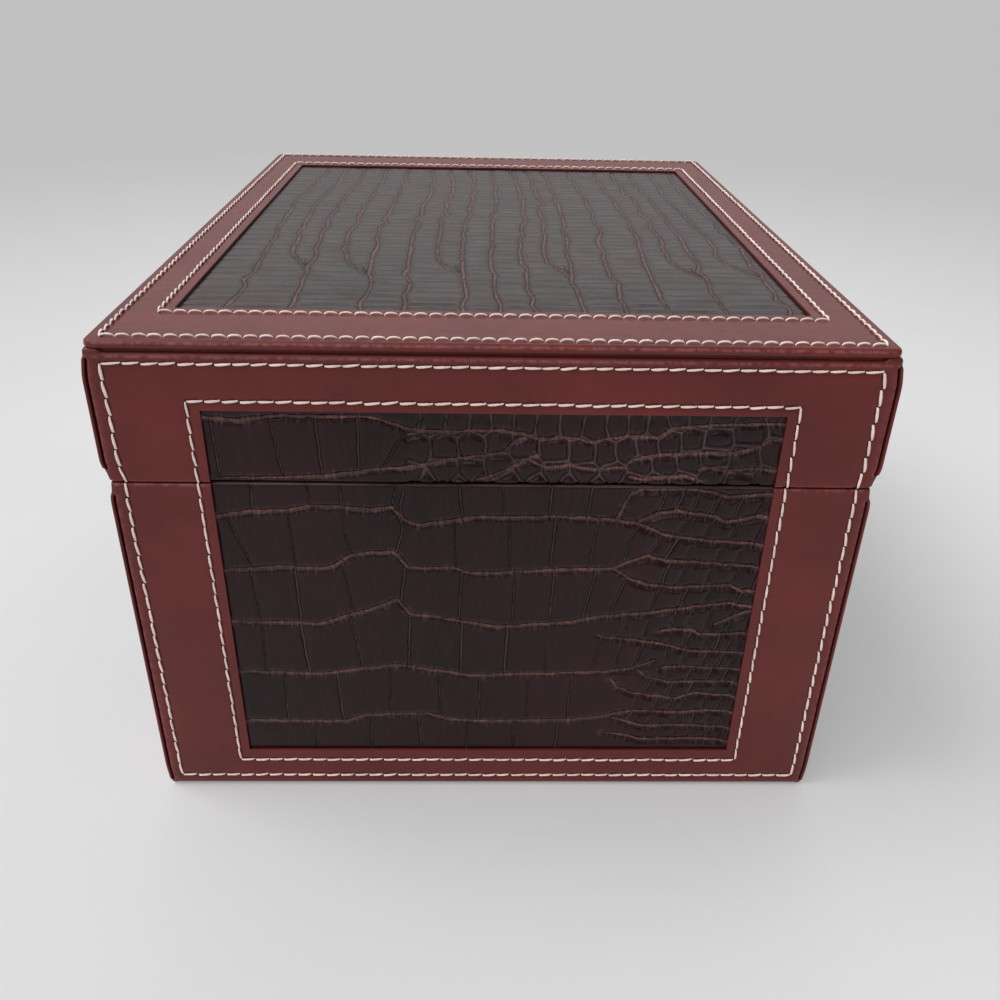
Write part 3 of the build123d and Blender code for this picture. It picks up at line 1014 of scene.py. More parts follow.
FRONT_FOLDS = (
    ((-99, 125.3), (-94.5, 125.5), (-83.7, 127.4), (-70.3, 127.9), (-62.9, 129.7), (-53.2, 129.5),
     (-41.1, 128.5), (-35, 129.6), (-31.5, 124.7), (-26.1, 122.6), (-16.8, 123.8), (-6.9, 125.9),
     (5.9, 125.7), (23.5, 126.3), (41.2, 125.2), (48.4, 124), (53.6, 122.1), (59.5, 119.2),
     (70.5, 117.2), (85.1, 116), (99, 115.3)),
    ((50.7, 124.5), (57.2, 127.8), (63.4, 128.7), (76.5, 126.4), (81, 124.3), (90.7, 126.5), (99, 127)),
    ((42.6, 125.4), (44, 129.1), (46.6, 135.4), (50.7, 137.4), (65.2, 137.5), (74.5, 136.4), (80.3, 134.1),
     (94.2, 135.8), (99, 136)),
    ((-99, 103), (-73.6, 104.9), (-61.1, 104.2), (-56, 105.4), (-50.1, 110), (-41.9, 111.1),
     (-35, 111.5), (-30.2, 105.2), (-23.3, 104.5), (-15.7, 105.3), (-6.8, 102.4), (6.5, 103.3),
     (21, 104.3), (42.8, 104.9), (47.6, 107.6), (54.7, 110.2), (61.4, 108.1), (71.7, 107.8),
     (93.9, 105.8), (99, 105.5)),
    ((42.8, 104.9), (50.6, 99.8), (55.9, 98), (65.6, 96.7), (86.2, 97.8), (90.3, 95.1), (99, 96.4)),
    ((-99, 81), (-75.8, 80.6), (-62.9, 79.9), (-51.6, 84), (-43, 86.9), (-34.5, 90.9), (-30.1, 84.6),
     (-20.4, 83.4), (-6.6, 80.3), (1.8, 79), (18.3, 80.4), (29.5, 81.4), (40.7, 84.3), (55.6, 85),
     (66.7, 87), (86.5, 90.1), (91.5, 88.5), (99, 89.5)),
    ((39, 75.4), (45.2, 74), (60.7, 71.7), (68.5, 69.8), (75, 67.9), (89.7, 67.2), (99, 67.8)),
    ((62.5, 77), (67.6, 78), (75.1, 77.6), (77.6, 75.7), (89.2, 75.8), (99, 77.7)),
    ((82.6, 80.4), (95.3, 87)),
    ((-99, 57.8), (-64.6, 56.4), (-51, 58.7), (-34.1, 60.9), (-24.1, 58.8), (-6.5, 55.8),
     (15.4, 56.8), (42.6, 57.9), (51.8, 58.9), (61.6, 63)),
    ((55.6, 59), (60, 55.1), (67.4, 52.6), (89.3, 53.2), (99, 52)),
    ((65, 59.6), (75, 60.4), (88, 59.2), (99, 60)),
    ((46, 54), (48.7, 50.1), (55.1, 47.1), (71.4, 44.4), (79, 47.2), (99, 45.5)),
    ((-99, 33), (-55.9, 32.7), (-48.8, 36), (-24.5, 37), (-17.6, 34.3), (-6.4, 32.9), (32.3, 33.7),
     (41.8, 35.4), (56, 38.2), (72, 37.4), (88, 38.6), (99, 37.5)),
    ((48, 34.5), (60, 30.4), (76, 30.9), (99, 29.4)),
    ((44, 27.6), (60, 23.4), (80, 23.8), (99, 22.6)),
)
FRONT_CUTS = (
    ((-82, 140), (-82.4, 127.2)), ((-63.5, 140), (-62.2, 129.2)), ((-52, 140), (-52.2, 129.2)),
    ((-33, 140), (-35, 130)), ((-30.5, 136.7), (-31.9, 130.8), (-31.5, 124.9)),
    ((-12, 140), (-10.6, 124.8)), ((3, 140), (3.2, 125.6)), ((20, 140), (19.2, 126)),
    ((33.5, 140), (32.4, 125.8)),
    ((-91, 124.5), (-84.7, 104.4)), ((-70.5, 127.6), (-69.4, 104.6)),
    ((-51.5, 129), (-51.4, 119.1), (-49.6, 110.4)), ((-34.2, 129), (-31.3, 121.5), (-33.9, 111.4)),
    ((-13.6, 124.2), (-13.2, 104.6)), ((5.5, 125.6), (5.9, 103.4)), ((21.5, 126), (20.3, 104.2)),
    ((36.4, 125.4), (33.9, 104.6)), ((50.6, 122.8), (47.5, 116.7), (46.6, 107.2)),
    ((58.6, 118.8), (58.5, 116), (54.7, 110.4)),
    ((-86, 103.6), (-84, 80.8)), ((-70, 104.6), (-69.6, 80.4)), ((-53, 104.8), (-50, 84.6)),
    ((-31, 107), (-33, 90)), ((-11, 103.8), (-12, 81.6)), ((8, 103.2), (7.4, 79.6)),
    ((22, 104.2), (21, 80.6)), ((37, 104.6), (33, 82.2)), ((48, 101), (43, 84.6)),
    ((-84, 80.8), (-84.6, 57.4)), ((-70, 80.4), (-68.4, 56.8)), ((-52, 84), (-48, 59)),
    ((-30, 84.6), (-31, 60.4)), ((-11, 81.6), (-11.4, 56.8)), ((6, 79.4), (5, 56.4)),
    ((20, 80.4), (20.6, 57.2)), ((41, 75), (38, 57.8)),
    ((-78, 57), (-78.4, 32.8)), ((-58, 57.4), (-57, 32.8)), ((-38, 60.4), (-38.8, 36.6)),
    ((-20, 58), (-19, 35)), ((-4, 55.8), (-4.6, 33)), ((14, 56.6), (14.4, 33.4)),
    ((31, 57.4), (30, 33.6)), ((-68, 32.8), (-68.4, 16)), ((-46, 36.2), (-47, 16)),
    ((-28, 36.8), (-27, 16)), ((-9, 33.2), (-9.4, 16)), ((9, 33.4), (9.6, 16)), ((27, 33.6), (26, 16)),
)
# Rows of small slanted scales: upper fold, lower fold, from, to, scale width and lean
FRONT_RUNGS = (
    (2, 1, 58, 98, 7.2, 3.4), (1, 0, 66, 98, 7.8, 4.2), (0, 3, 64, 98, 8.2, 3.6),
    (3, 4, 60, 98, 8.0, 3.2), (4, 5, 56, 98, 9.0, 3.0), (5, 7, 64, 98, 7.4, 2.6),
    (5, 6, 48, 62, 7.4, 2.4), (7, 6, 66, 98, 6.2, 2.2), (6, 11, 66, 98, 6.6, 2.4),
    (6, 9, 46, 62, 6.4, 2.4), (11, 10, 68, 98, 6.6, 2.2), (10, 12, 60, 98, 7.0, 2.4),
    (12, 13, 54, 98, 6.6, 2.4), (13, 14, 54, 98, 6.8, 2.4), (14, 15, 52, 98, 6.4, 2.2),
)
LID_FOLDS = (
    ((-99, 163.2), (-93.6, 162.3), (-83.7, 161.5), (-71, 163.4), (-57.3, 163.2), (-39.7, 163.2),
     (-33.5, 160.6), (-27.4, 158.7), (-18.5, 158), (-9, 158.5), (2.6, 158.9), (11.1, 156.9),
     (14.2, 155.6), (21.3, 156.4), (27.9, 155.7), (32, 154.8), (36.5, 156), (45, 157.2),
     (54.1, 156.8), (58.4, 159.9), (69.3, 161.1), (77.8, 161.7), (99, 162.4)),
    ((-99, 139.6), (-75.8, 140.4), (-58.9, 141.2), (-45.9, 143.1), (-36.5, 144.5), (-26.3, 145.2),
     (-16, 147.8), (-5.9, 149.2), (3.2, 151), (6.2, 154.4), (11.1, 156.9)),
    ((-6.3, 140.2), (2.9, 143.5), (10.4, 148.2), (15.4, 150.5)),
    ((11.4, 148.2), (17.2, 145.1), (24.8, 146.2), (28.5, 145.2), (33.2, 144.7), (44, 145.6)),
    ((44.4, 146.7), (46.3, 148.5), (53.3, 150), (65, 151.1), (77.8, 151.1), (82.8, 152),
     (87.7, 153.5), (90.8, 156), (99, 157.6)),
    ((45.5, 142.1), (49, 141.2), (57.2, 141.9), (64.4, 142.7), (70.4, 140.5)),
    ((68.6, 144.7), (71.2, 146), (77.4, 144.7), (88, 145.4), (99, 144.6)),
)
LID_CUTS = (
    ((-92.5, 162.4), (-91.6, 140.6)), ((-73.5, 163), (-70.6, 140.8)),
    ((-58.6, 163.2), (-58.2, 152), (-57.4, 141.4)), ((-45, 163), (-45.4, 143.4)),
    ((-28.9, 158.6), (-32.6, 153.4), (-37.5, 144.8)),
)
LID_SCALES = (
    (-28.9, 162.2), (-20.5, 161.9), (-12.1, 161.7), (-5, 161.8), (2.1, 162.1), (9.8, 161.7),
    (16.9, 161.1), (25.3, 161.9), (33.2, 160.2), (40.3, 160.7), (46.7, 161.2), (53.5, 161),
    (60.1, 164.2), (66.4, 164.6), (73.8, 164.4), (83.8, 160), (95, 164),
    (-26, 152.2), (-17, 152.8), (-7.6, 153.4), (1.2, 154.8), (9.6, 152.6), (20, 151.2),
    (29.6, 150.8), (37, 150.4), (43.8, 151.8), (50.6, 153.6), (58, 154.6), (65.2, 156), (73.6, 156.4),
    (94.6, 150.4), (-28.6, 141.6), (-17, 142.8), (-8, 143.4), (1.4, 145.6), (10.8, 144.6),
    (20.4, 143.4), (30.4, 143.2), (39.8, 143.4), (48.8, 145.8), (57, 146.4), (65.2, 147.6),
    (73, 149.2), (83.4, 148), (4.2, 139.4), (14.6, 138), (25, 137.4), (47.4, 140), (54.8, 139.8),
    (63.6, 140.4), (73.4, 142.2), (83, 139.6), (92.6, 141.6), (-23, 137.6), (-12, 137.4),
    (34.6, 137.4),
)


def drawn_pattern(width, low, high, gap, tile, seed, mirror=1.0):
    """Folds, cuts and small scales for a panel that the photograph doesn't show."""
    draw = np.random.default_rng(seed)
    reach = width / 2 + 2
    ridge = draw.uniform(-0.35, 0.05) * width
    wave = draw.uniform(0, 6)
    levels = np.arange(high - gap * 0.55, low - gap, -gap)
    folds = []
    for level in levels:
        x = np.arange(-reach, reach + 9, 8.5)
        x[1:-1] += draw.normal(0, 1.2, len(x) - 2)
        lift = 1.1 * np.sin(x / 31 + wave) + draw.normal(0, 0.55, len(x))
        lift += gap * 0.26 * np.exp(-(((x - ridge) / 12) ** 2))
        lift -= gap * 0.10 * np.exp(-(((x - ridge - 16) / 9) ** 2))
        folds.append([(float(a), float(b)) for a, b in zip(x, level + lift)])
    split = reach * 0.36
    rungs = []
    for k in range(len(levels) - 1):
        upper, lower = np.array(folds[k]), np.array(folds[k + 1])
        x = np.arange(split + draw.uniform(-6, 6), reach + 7, 7.5)
        share = np.minimum(1, (x - x[0]) / 12) * 0.5
        a, b = np.interp(x, upper[:, 0], upper[:, 1]), np.interp(x, lower[:, 0], lower[:, 1])
        line = a + (b - a) * share + draw.normal(0, 0.35, len(x))
        folds.append([(float(p), float(q)) for p, q in zip(x, line)])
        middle = len(folds) - 1
        rungs.append((k, middle, x[1] + 3, reach, tile * 0.45, 2.6))
        rungs.append((middle, k + 1, x[1], reach, tile * 0.42, 2.4))
        rungs.append((k, k + 1, -reach, x[1] - 2, tile, draw.uniform(-0.8, 0.8)))
    return dress_pattern(folds, [], rungs, [], seed, mirror, NOWHERE if mirror < 0 else split)


def dress_pattern(folds, cuts, rungs, scales, seed, mirror=1.0, small_from=NOWHERE):
    """Adds the cuts between rows, and gives the lines as arrays."""
    draw = np.random.default_rng(seed)
    cuts = [np.array(line, float) for line in cuts]
    folds = [np.array(line, float) for line in folds]
    for upper, lower, start, stop, width, lean in rungs:
        x = start + width * draw.uniform(0.1, 0.6)
        while x < stop:
            top = np.interp(x, folds[upper][:, 0], folds[upper][:, 1])
            low_x = x - lean * draw.uniform(0.5, 1.3)
            bottom = np.interp(low_x, folds[lower][:, 0], folds[lower][:, 1])
            bow = draw.uniform(-0.07, 0.12) * width
            if top - bottom > 2.0:
                middle = ((x + low_x) / 2 + bow, (top + bottom) / 2)
                cuts.append(np.array([(x, top), middle, (low_x, bottom)]))
            x += width * draw.uniform(0.72, 1.3)
    if mirror < 0:
        cuts = [line * (-1, 1) for line in cuts]
        folds = [line * (-1, 1) for line in folds]
    return {
        "folds": folds, "cuts": cuts, "scales": np.array(scales, float).reshape(-1, 2),
        "seed": seed, "flatness": 1.0, "small_from": small_from,
    }


def nearest_line(u, v, lines, reach):
    """Distance to the nearest of many bent lines, how far along, and that line's number."""
    nearest = np.full(u.shape, 99.0)
    along = np.zeros(u.shape)
    which = np.zeros(u.shape)
    for number, line in enumerate(lines):
        low, high = line.min(axis=0) - reach, line.max(axis=0) + reach
        near = np.nonzero((u > low[0]) & (u < high[0]) & (v > low[1]) & (v < high[1]))[0]
        if not len(near):
            continue
        away, run = distance_to_line(u[near], v[near], line)
        closer = away < nearest[near]
        chosen = near[closer]
        nearest[chosen] = away[closer]
        along[chosen] = run[closer]
        which[chosen] = number + 1
    return nearest, along, which


def scale_edges(u, v, centres):
    """Half gap between the two nearest scales, and the distance to the nearest one's middle."""
    first = np.full(u.shape, 99.0)
    second = np.full(u.shape, 99.0)
    for x, z in centres:
        away = np.sqrt((u - x) ** 2 + ((v - z) * 0.86) ** 2)
        closer = away < first
        second = np.where(closer, first, np.minimum(second, away))
        first = np.where(closer, away, first)
    return (second - first) / 2, first


def relief(u, v, pattern):
    """Depth in metres below the scales' tops, and in millimetres the way to folds and cuts."""
    seed = pattern["seed"]
    u, v = u * 1000, v * 1000
    jog = 0.6 * (lattice_noise(u + 300, v + 300, 2.6, seed + 1) - 0.5)
    to_fold, run, number = nearest_line(u + jog, v + jog, pattern["folds"], 30.0)
    to_cut, _, cut_number = nearest_line(u + jog * 0.6, v + jog * 0.4, pattern["cuts"], 12.0)
    cord = lattice_noise(run + 40, number * 7.7, 1.5, seed + 2)
    wide = 0.85 + 0.5 * lattice_noise(run + 90, number * 5.1, 9.0, seed + 4)
    flatness = pattern["flatness"]
    fold_deep, cut_deep = sizes().fold_depth * 1000, sizes().cut_depth * 1000 * flatness
    sink = fold_deep * np.exp(-((to_fold / wide) ** 2)) * (0.85 + 0.3 * cord) * (0.4 + 0.6 * flatness)
    sink += 0.20 * flatness * np.exp(-((to_fold / 2.6) ** 2))
    strong = 0.45 + 0.7 * lattice_noise(cut_number * 3.3 + 9, cut_number * 1.7 + 5, 1.0, seed + 6)
    shallow = cut_deep * strong * np.exp(-((to_cut / 0.5) ** 2))
    shallow += 0.12 * strong * np.exp(-((to_cut / 1.8) ** 2)) * flatness
    sink = np.maximum(sink, shallow)
    small = np.clip((u - pattern["small_from"]) / 8, 0, 1) * flatness
    beside = np.maximum(
        0.50 * np.exp(-(((to_fold - 1.15) / 0.6) ** 2)), 0.40 * np.exp(-(((to_cut - 0.6) / 0.5) ** 2))
    )
    sink += small * (beside + 0.22 * np.exp(-((np.minimum(to_fold, to_cut) / 2.2) ** 2)))
    to_fold = to_fold * 1.25 / wide
    to_cut = to_cut / np.clip(strong, 0.6, 1.1)
    to_edge = np.minimum(to_fold, to_cut)
    if len(pattern["scales"]):
        ripple = 0.9 * (lattice_noise(u + 500, v + 500, 3.1, seed + 8) - 0.5)
        gap, middle = scale_edges(u + ripple, v - ripple * 0.7, pattern["scales"])
        inside = np.clip((u + 33) / 4, 0, 1)
        line = gap + (1 - inside) * 5
        gap = np.maximum(gap - 0.22 * np.clip(middle - 3.4, 0, 2.5), 0) + (1 - inside) * 5
        ring = 0.62 * np.exp(-(((gap - 0.75) / 0.6) ** 2)) + 0.30 * np.exp(-((gap / 2.2) ** 2))
        sink = np.maximum(sink, ring)
        to_cut = np.minimum(to_cut, line)
        to_edge = np.where(inside > 0.5, np.minimum(to_edge, gap), to_edge)
    sink += 0.12 * flatness * np.exp(-((to_edge / 3.2) ** 2))
    sink += 0.12 * lattice_noise(u + 700, v + 700, 11.0, seed + 10)
    sink += 0.06 * lattice_noise(u + 900, v + 900, 3.4, seed + 12)
    return sink * 0.001, np.minimum(to_fold, 9.0), np.minimum(to_cut, 9.0), run + number * 31.0


def panel_pattern(half, side):
    """The drawn creases of one panel."""
    if half == "base" and side == "front":
        return dress_pattern(FRONT_FOLDS, FRONT_CUTS, FRONT_RUNGS, [], 11, small_from=44.0)
    if half == "lid" and side == "front":
        return dress_pattern(LID_FOLDS, LID_CUTS, [], LID_SCALES, 12)
    number = HALVES.index(half) * 4 + SIDES.index(side)
    width = 2000 * (wall_half_length(side) - WALL_BAND)
    if half == "base":
        return drawn_pattern(width, 10, 139, 22.5, 17.5, 30 + number, -1.0 if side == "left" else 1.0)
    return drawn_pattern(width, 130, 172, 15.0, 14.0, 30 + number, -1.0 if side == "right" else 1.0)


def close_panel(sheet):
    """Merges the two ends of a sheet that folds back behind itself, and closes its open rims."""
    with editing(sheet):
        bpy.ops.mesh.select_mode(type="VERT")
        bpy.ops.mesh.select_all(action="SELECT")
        bpy.ops.mesh.remove_doubles(threshold=0.000004)
        bpy.ops.mesh.select_all(action="DESELECT")
        bpy.ops.mesh.select_non_manifold(extend=False)
        bpy.ops.mesh.edge_face_add()


def finish_panel(sheet, values, body, replaced):
    """Stores what an embossed panel's material reads, and closes and finishes the panel."""
    for name, value in values.items():
        keep_values(sheet, name, value)
    close_panel(sheet)
    finish(sheet, 55, "embossed_leather_finish", body, "embossed_leather", replaced)
    return sheet


def make_wall_panel(half, side):
    """Embossed leather of one wall: over the face, round the rim and down inside."""
    front = side == "front"
    pitch = 0.0006 if front and half == "base" else 0.0005 if front else 0.00085
    reach = wall_half_length(side) - WALL_BAND
    tucked = reach + TUCKED
    height = half_height(half) - half_band(half) + TUCKED
    rim = 0.0013
    columns = spaced(-tucked, tucked, [], pitch)
    face = straight((RECESS, height), (RECESS, rim), [], pitch)
    over = arc((RECESS + rim, rim), rim, 180, 270, 6)
    cap = straight((RECESS + rim, 0), (TURN_DEPTH - rim, 0), [], 0.0012)
    bend = arc((TURN_DEPTH - rim, rim), rim, -90, 0, 5)
    down = straight((TURN_DEPTH, rim), (TURN_DEPTH, PARTING - TURN_EDGE), [], 0.0016)
    points, travel, normal = path_frame(face[:-1] + over[:-1] + cap[:-1] + bend[:-1] + down)
    sheet, column, row = grid_sheet(f"{half}_{side}_embossed_leather", len(columns) + 3, len(points))
    behind = (column == len(columns)) | (column == len(columns) + 1)
    s = np.array([*columns, columns[-1], columns[0], columns[0]])[column]
    depth, away = points[row, 0], points[row, 1]
    on_rim = depth > ON_FACE
    over_rim = np.where(on_rim, 1.0, np.clip((0.0035 - away) / 0.0025, 0, 1))
    s = s * (1 - over_rim * (1 - reach * 0.9995 / tucked))
    level = PARTING + INTO[half] * np.where(on_rim, travel[len(face) - 1] - travel[row], away)
    sink, to_fold, to_cut, run = relief(s, level, panel_pattern(half, side))
    border = np.minimum(tucked - np.abs(s), height - away) - TUCKED
    inside = np.clip(np.where(on_rim, (reach - np.abs(s)) / 0.0015, border / 0.0022), 0, 1)
    low = 0.00016 + 0.00006 * (border < 0)
    sink = low * (1 - inside) + (sink - 0.00010) * inside
    sink = np.where(depth > RECESS + 0.0012, np.maximum(sink * 0.8, 0.0), sink)
    near_rim = ease((0.0030 - away) / 0.0024) * (depth < RECESS + 0.001)
    sink = sink * (1 - 0.45 * near_rim) + 0.00012 * near_rim
    sink = sink + 0.00035 * ease((0.0045 - depth) / 0.002) * (depth > RECESS + 0.0004)
    sink = np.minimum(sink, np.where(on_rim, 0.00075, 0.00125))
    sink = np.where(behind, np.where(on_rim, 0.00095, 0.0015), sink)
    depth, away = depth + normal[row, 0] * sink, away + normal[row, 1] * sink
    place_vertices(sheet, wall_point(side, half, s, depth, away))
    rounding = (row >= len(face) + 1) & (row <= len(face) + 3)
    return finish_panel(sheet, {
        "crease": np.where(behind, 0, np.clip(border / 0.001 + 1, 0, 1)),
        # Where the painted rim highlight goes, on the base panels only
        "edge": np.where(rounding & ~behind & (half == "base"), 1.0, 0.0),
        "fold_away": to_fold,
        "cut_away": to_cut,
        "run": run,
    }, half, f"{half}_{side}_croc")


def top_pattern():
    """Creases of the top, whose folds run from front to back: wide scales in front, smaller behind."""
    draw = np.random.default_rng(77)
    half, front, back = (value * 1000 for value in top_window())
    levels = [104, 82, 62, 47, 32, 14, 1, -11, -33, -48, -73, -94]
    along = np.arange(front - 6, back + 14, 9.0)
    folds, rungs = [], []
    for level in levels:
        sway = 1.8 * np.sin(along / 37 + level / 40) + draw.normal(0, 0.7, len(along))
        folds.append([(float(a), float(b)) for a, b in zip(along, level + sway)])
    main = len(folds)
    for k in range(main - 1):
        width = 6.6 + draw.uniform(-0.5, 0.8)
        if levels[k] - levels[k + 1] < 16:
            rungs.append((k, k + 1, front - 4, back + 4, width, draw.uniform(-1.0, 1.0)))
            continue
        start = front + draw.uniform(38, 52)
        upper, lower = np.array(folds[k]), np.array(folds[k + 1])
        middle = along[along > start]
        a, b = np.interp(middle, upper[:, 0], upper[:, 1]), np.interp(middle, lower[:, 0], lower[:, 1])
        share = np.clip((middle - middle[0]) / 20, 0, 1) * 0.45 + 0.05
        line = a + (b - a) * share + draw.normal(0, 0.6, len(middle))
        folds.append([(float(p), float(q)) for p, q in zip(middle, line)])
        added = len(folds) - 1
        rungs.append((k, k + 1, front - 4, start, width, draw.uniform(-1.0, 1.0)))
        rungs.append((k, added, start + 8, back + 4, width, draw.uniform(-1.5, 1.5)))
        rungs.append((added, k + 1, start, back + 4, width * 1.1, draw.uniform(-1.5, 1.5)))
    folds += [[(front - 6, half + 8), (back + 8, half + 8)], [(front - 6, -half - 8), (back + 8, -half - 8)]]
    rungs.append((len(folds) - 2, 0, front - 4, back + 4, 8.0, 0.5))
    rungs.append((main - 1, len(folds) - 1, front - 4, back + 4, 8.0, 0.5))
    return dress_pattern(folds, [], rungs, [], 78)


def make_top_panel():
    """Embossed leather of the top, a shallow closed sheet tucked under its border."""
    low, high = TOP_PANEL_LOW, TOP_PANEL_HIGH
    columns = spaced(low.x, high.x, [], 0.00088)
    lines = spaced(low.y, high.y, [], 0.00088)
    sheet, column, row = grid_sheet("lid_top_embossed_leather", len(columns) + 3, len(lines))
    places = np.array([*columns, columns[-1], columns[0], columns[0]])
    behind = (column == len(columns)) | (column == len(columns) + 1)
    x, y = places[column], np.array(lines)[row]
    pattern = top_pattern()
    pattern["flatness"] = 0.26 + 0.70 * np.exp((low.y - y) / 0.045)
    sink, to_fold, to_cut, run = relief(y, x, pattern)
    border = np.minimum(np.minimum(high.x - np.abs(x), y - low.y), high.y - y) - TUCKED
    inside = np.clip(border / 0.0022, 0, 1)
    sink = (0.00018 + 0.00006 * (border < 0)) * (1 - inside) + (sink - 0.00010) * inside
    sink = np.where(behind, 0.0014, np.minimum(sink, 0.0012))
    place_vertices(sheet, np.column_stack([x, y, high.z - sink]))
    finish_panel(sheet, {
        "crease": np.where(behind, 0, np.clip(border / 0.001 + 1, 0, 1)),
        "fold_away": to_fold,
        "cut_away": np.maximum(to_cut, 1.0),
        "run": run,
    }, "lid", "lid_top_croc")


def cut_hinge_seat(panel, half, play=0.0001, reach=0.012, tall=0.0050):
    """Cuts the two hinge seats out of a back panel."""
    for hand in ("left", "right"):
        low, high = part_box(f"{hand}_hinge_{half}_leaf")
        middle = ((low.x + high.x) / 2, low.y - play + reach / 2, PARTING)
        cutter = add_block("seat_cutter", middle, (high.x - low.x + 2 * play, reach, tall))
        apply_modifier(panel, "BOOLEAN", object=cutter, operation="DIFFERENCE", solver="EXACT")
        if not panel.data.polygons:
            raise RuntimeError(f"{panel.name} was lost while its hinge seat was cut")
        select_only(cutter)
        bpy.ops.object.delete()


class KEEPSAKE_OT_embossed_panels(bpy.types.Operator):
    """Makes the embossed leather panels of the walls and the top"""

    bl_idname = "keepsake.embossed_panels"
    bl_label = "Embossed leather panels"

    def execute(self, context):
        for half in HALVES:
            for side in SIDES:
                panel = make_wall_panel(half, side)
                if side == "back":
                    cut_hinge_seat(panel, half)
        make_top_panel()
        return {"FINISHED"}


# Stitching

# Slant of a stitch in its row, in degrees, and how far it lies under the leather's face
STITCH_SLANT = 4.5
STITCH_DEEP = 0.00012


def stitch_shape():
    """One stitch of two-ply thread, one unit long, as its vertices and faces."""
    clean_selection()
    bpy.ops.mesh.primitive_uv_sphere_add(segments=8, ring_count=9, radius=1)
    ball = bpy.context.object
    places = vertex_places(ball)
    faces = [tuple(face.vertices) for face in ball.data.polygons]
    bpy.ops.object.delete()
    along, across, out = places[:, 2], places[:, 0], places[:, 1]
    radial = np.hypot(across, out)
    angle = np.arctan2(out, across)
    girth = radial ** 0.30 * (1 + 0.12 * np.cos(2 * (angle - 2.4 * along))) * (1 - 0.10 * along)
    return along, girth * np.cos(angle), girth * np.sin(angle), faces


def stitch_places(rows, pitch, draw):
    """Centre, direction, length and wobble of every stitch along some rows."""
    found = []
    for row in rows:
        for (u0, v0), (u1, v1) in zip(row, row[1:]):
            length = math.hypot(u1 - u0, v1 - v0)
            holes = max(1, round(length / pitch))
            heading = math.atan2(v1 - v0, u1 - u0)
            for k in range(holes):
                share = (k + 0.5) / holes
                found.append((
                    u0 + (u1 - u0) * share + draw.normal(0, 0.00006),
                    v0 + (v1 - v0) * share + draw.normal(0, 0.00006),
                    heading + math.radians(draw.normal(STITCH_SLANT, 1.6)),
                    length / holes * draw.uniform(0.93, 0.99),
                    draw.uniform(0.92, 1.08),
                ))
    return found


def sew(name, rows, pitch, mirrored, bow, to_world, body, seed):
    """One object of all the stitches of a wall or the top, each bowed up from its holes."""
    draw = np.random.default_rng(seed)
    along, across, out, faces = stitch_shape()
    radius = sizes().thread_width / 2
    lift = bow * (1 - along * along) - 0.8 * radius * np.clip(np.abs(along) - 0.76, 0, 1) / 0.24
    pieces, polygons = [], []
    for number, (u, v, heading, length, plump) in enumerate(stitch_places(rows, pitch, draw)):
        turn = heading - 2 * math.radians(STITCH_SLANT) if mirrored else heading
        a = along * length / 2
        b = across * radius * plump
        pieces.append(np.stack([
            u + a * math.cos(turn) - b * math.sin(turn),
            v + a * math.sin(turn) + b * math.cos(turn),
            out * radius * 0.92 * plump + lift,
        ], axis=1))
        polygons += [tuple(index + number * len(along) for index in face) for face in faces]
    places = np.concatenate(pieces)
    mesh = bpy.data.meshes.new(name)
    mesh.from_pydata(to_world(places[:, 0], places[:, 1], places[:, 2]).tolist(), [], polygons)
    mesh.update()
    thread = bpy.data.objects.new(name, mesh)
    bpy.context.scene.collection.objects.link(thread)
    finish(thread, 70, "cream_thread", body, "smooth_leather")


class KEEPSAKE_OT_stitching(bpy.types.Operator):
    """Sews the double rows of cream thread round every panel"""

    bl_idname = "keepsake.stitching"
    bl_label = "Stitching"

    def execute(self, context):
        for half in HALVES:
            for side in SIDES:
                seed = 200 + HALVES.index(half) * 4 + SIDES.index(side)
                rows, pitch = wall_rows(half, side), sizes().stitch_pitch
                sew(
                    f"{half}_{side}_stitching", rows, pitch, half == "base", 0.00020,
                    lambda u, v, w, half=half, side=side: wall_point(side, half, u, STITCH_DEEP - w, v),
                    half, seed,
                )
        sew(
            "lid_top_stitching", top_rows(), sizes().top_stitch_pitch, False, 0.00062,
            lambda u, v, w: np.stack([u, v, TOP_HIGH.z + w - STITCH_DEEP], axis=-1), "lid", 230,
        )
        return {"FINISHED"}


# Linings, pads and the carried-over hardware


def make_cloth_panel(name, node_name, face_axis, face_sign, crown, body, round_edge=0.0006):
    """Padded cloth-covered panel: a rounded board whose visible face is lightly crowned."""
    low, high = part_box(node_name)
    size, centre = high - low, (low + high) / 2
    panel = add_block(name, centre, size)
    with editing(panel):
        bpy.ops.mesh.bevel(offset=round_edge, segments=3, profile=0.5, affect="EDGES")
        bpy.ops.mesh.select_all(action="DESELECT")
    axes = [axis for axis in range(3) if axis != face_axis]
    for axis in axes:
        count = max(2, int(size[axis] / 0.008))
        for k in range(1, count):
            place, normal = Vector(), Vector()
            place[axis] = low[axis] + size[axis] * k / count
            normal[axis] = 1.0
            with editing(panel):
                bpy.ops.mesh.bisect(plane_co=place, plane_no=normal)
    places = vertex_places(panel)
    shares = [np.clip(np.abs(places[:, axis] - centre[axis]) / (size[axis] / 2), 0, 1) for axis in axes]
    lift = crown * (1 - shares[0] ** 6) * (1 - shares[1] ** 6)
    ripple = 0.00025 * (lattice_noise(places[:, axes[0]] + 1, places[:, axes[1]] + 1, 0.03, 5) - 0.5)
    seen = (places[:, face_axis] - centre[face_axis]) * face_sign > size[face_axis] * 0.2
    inner = (shares[0] < 0.985) & (shares[1] < 0.985)
    places[:, face_axis] += face_sign * np.where(seen, lift - crown + ripple * inner, 0.0)
    place_vertices(panel, places)
    finish(panel, 50, "tan_suede_cloth", body, "inner_cloth", node_name)
    return panel


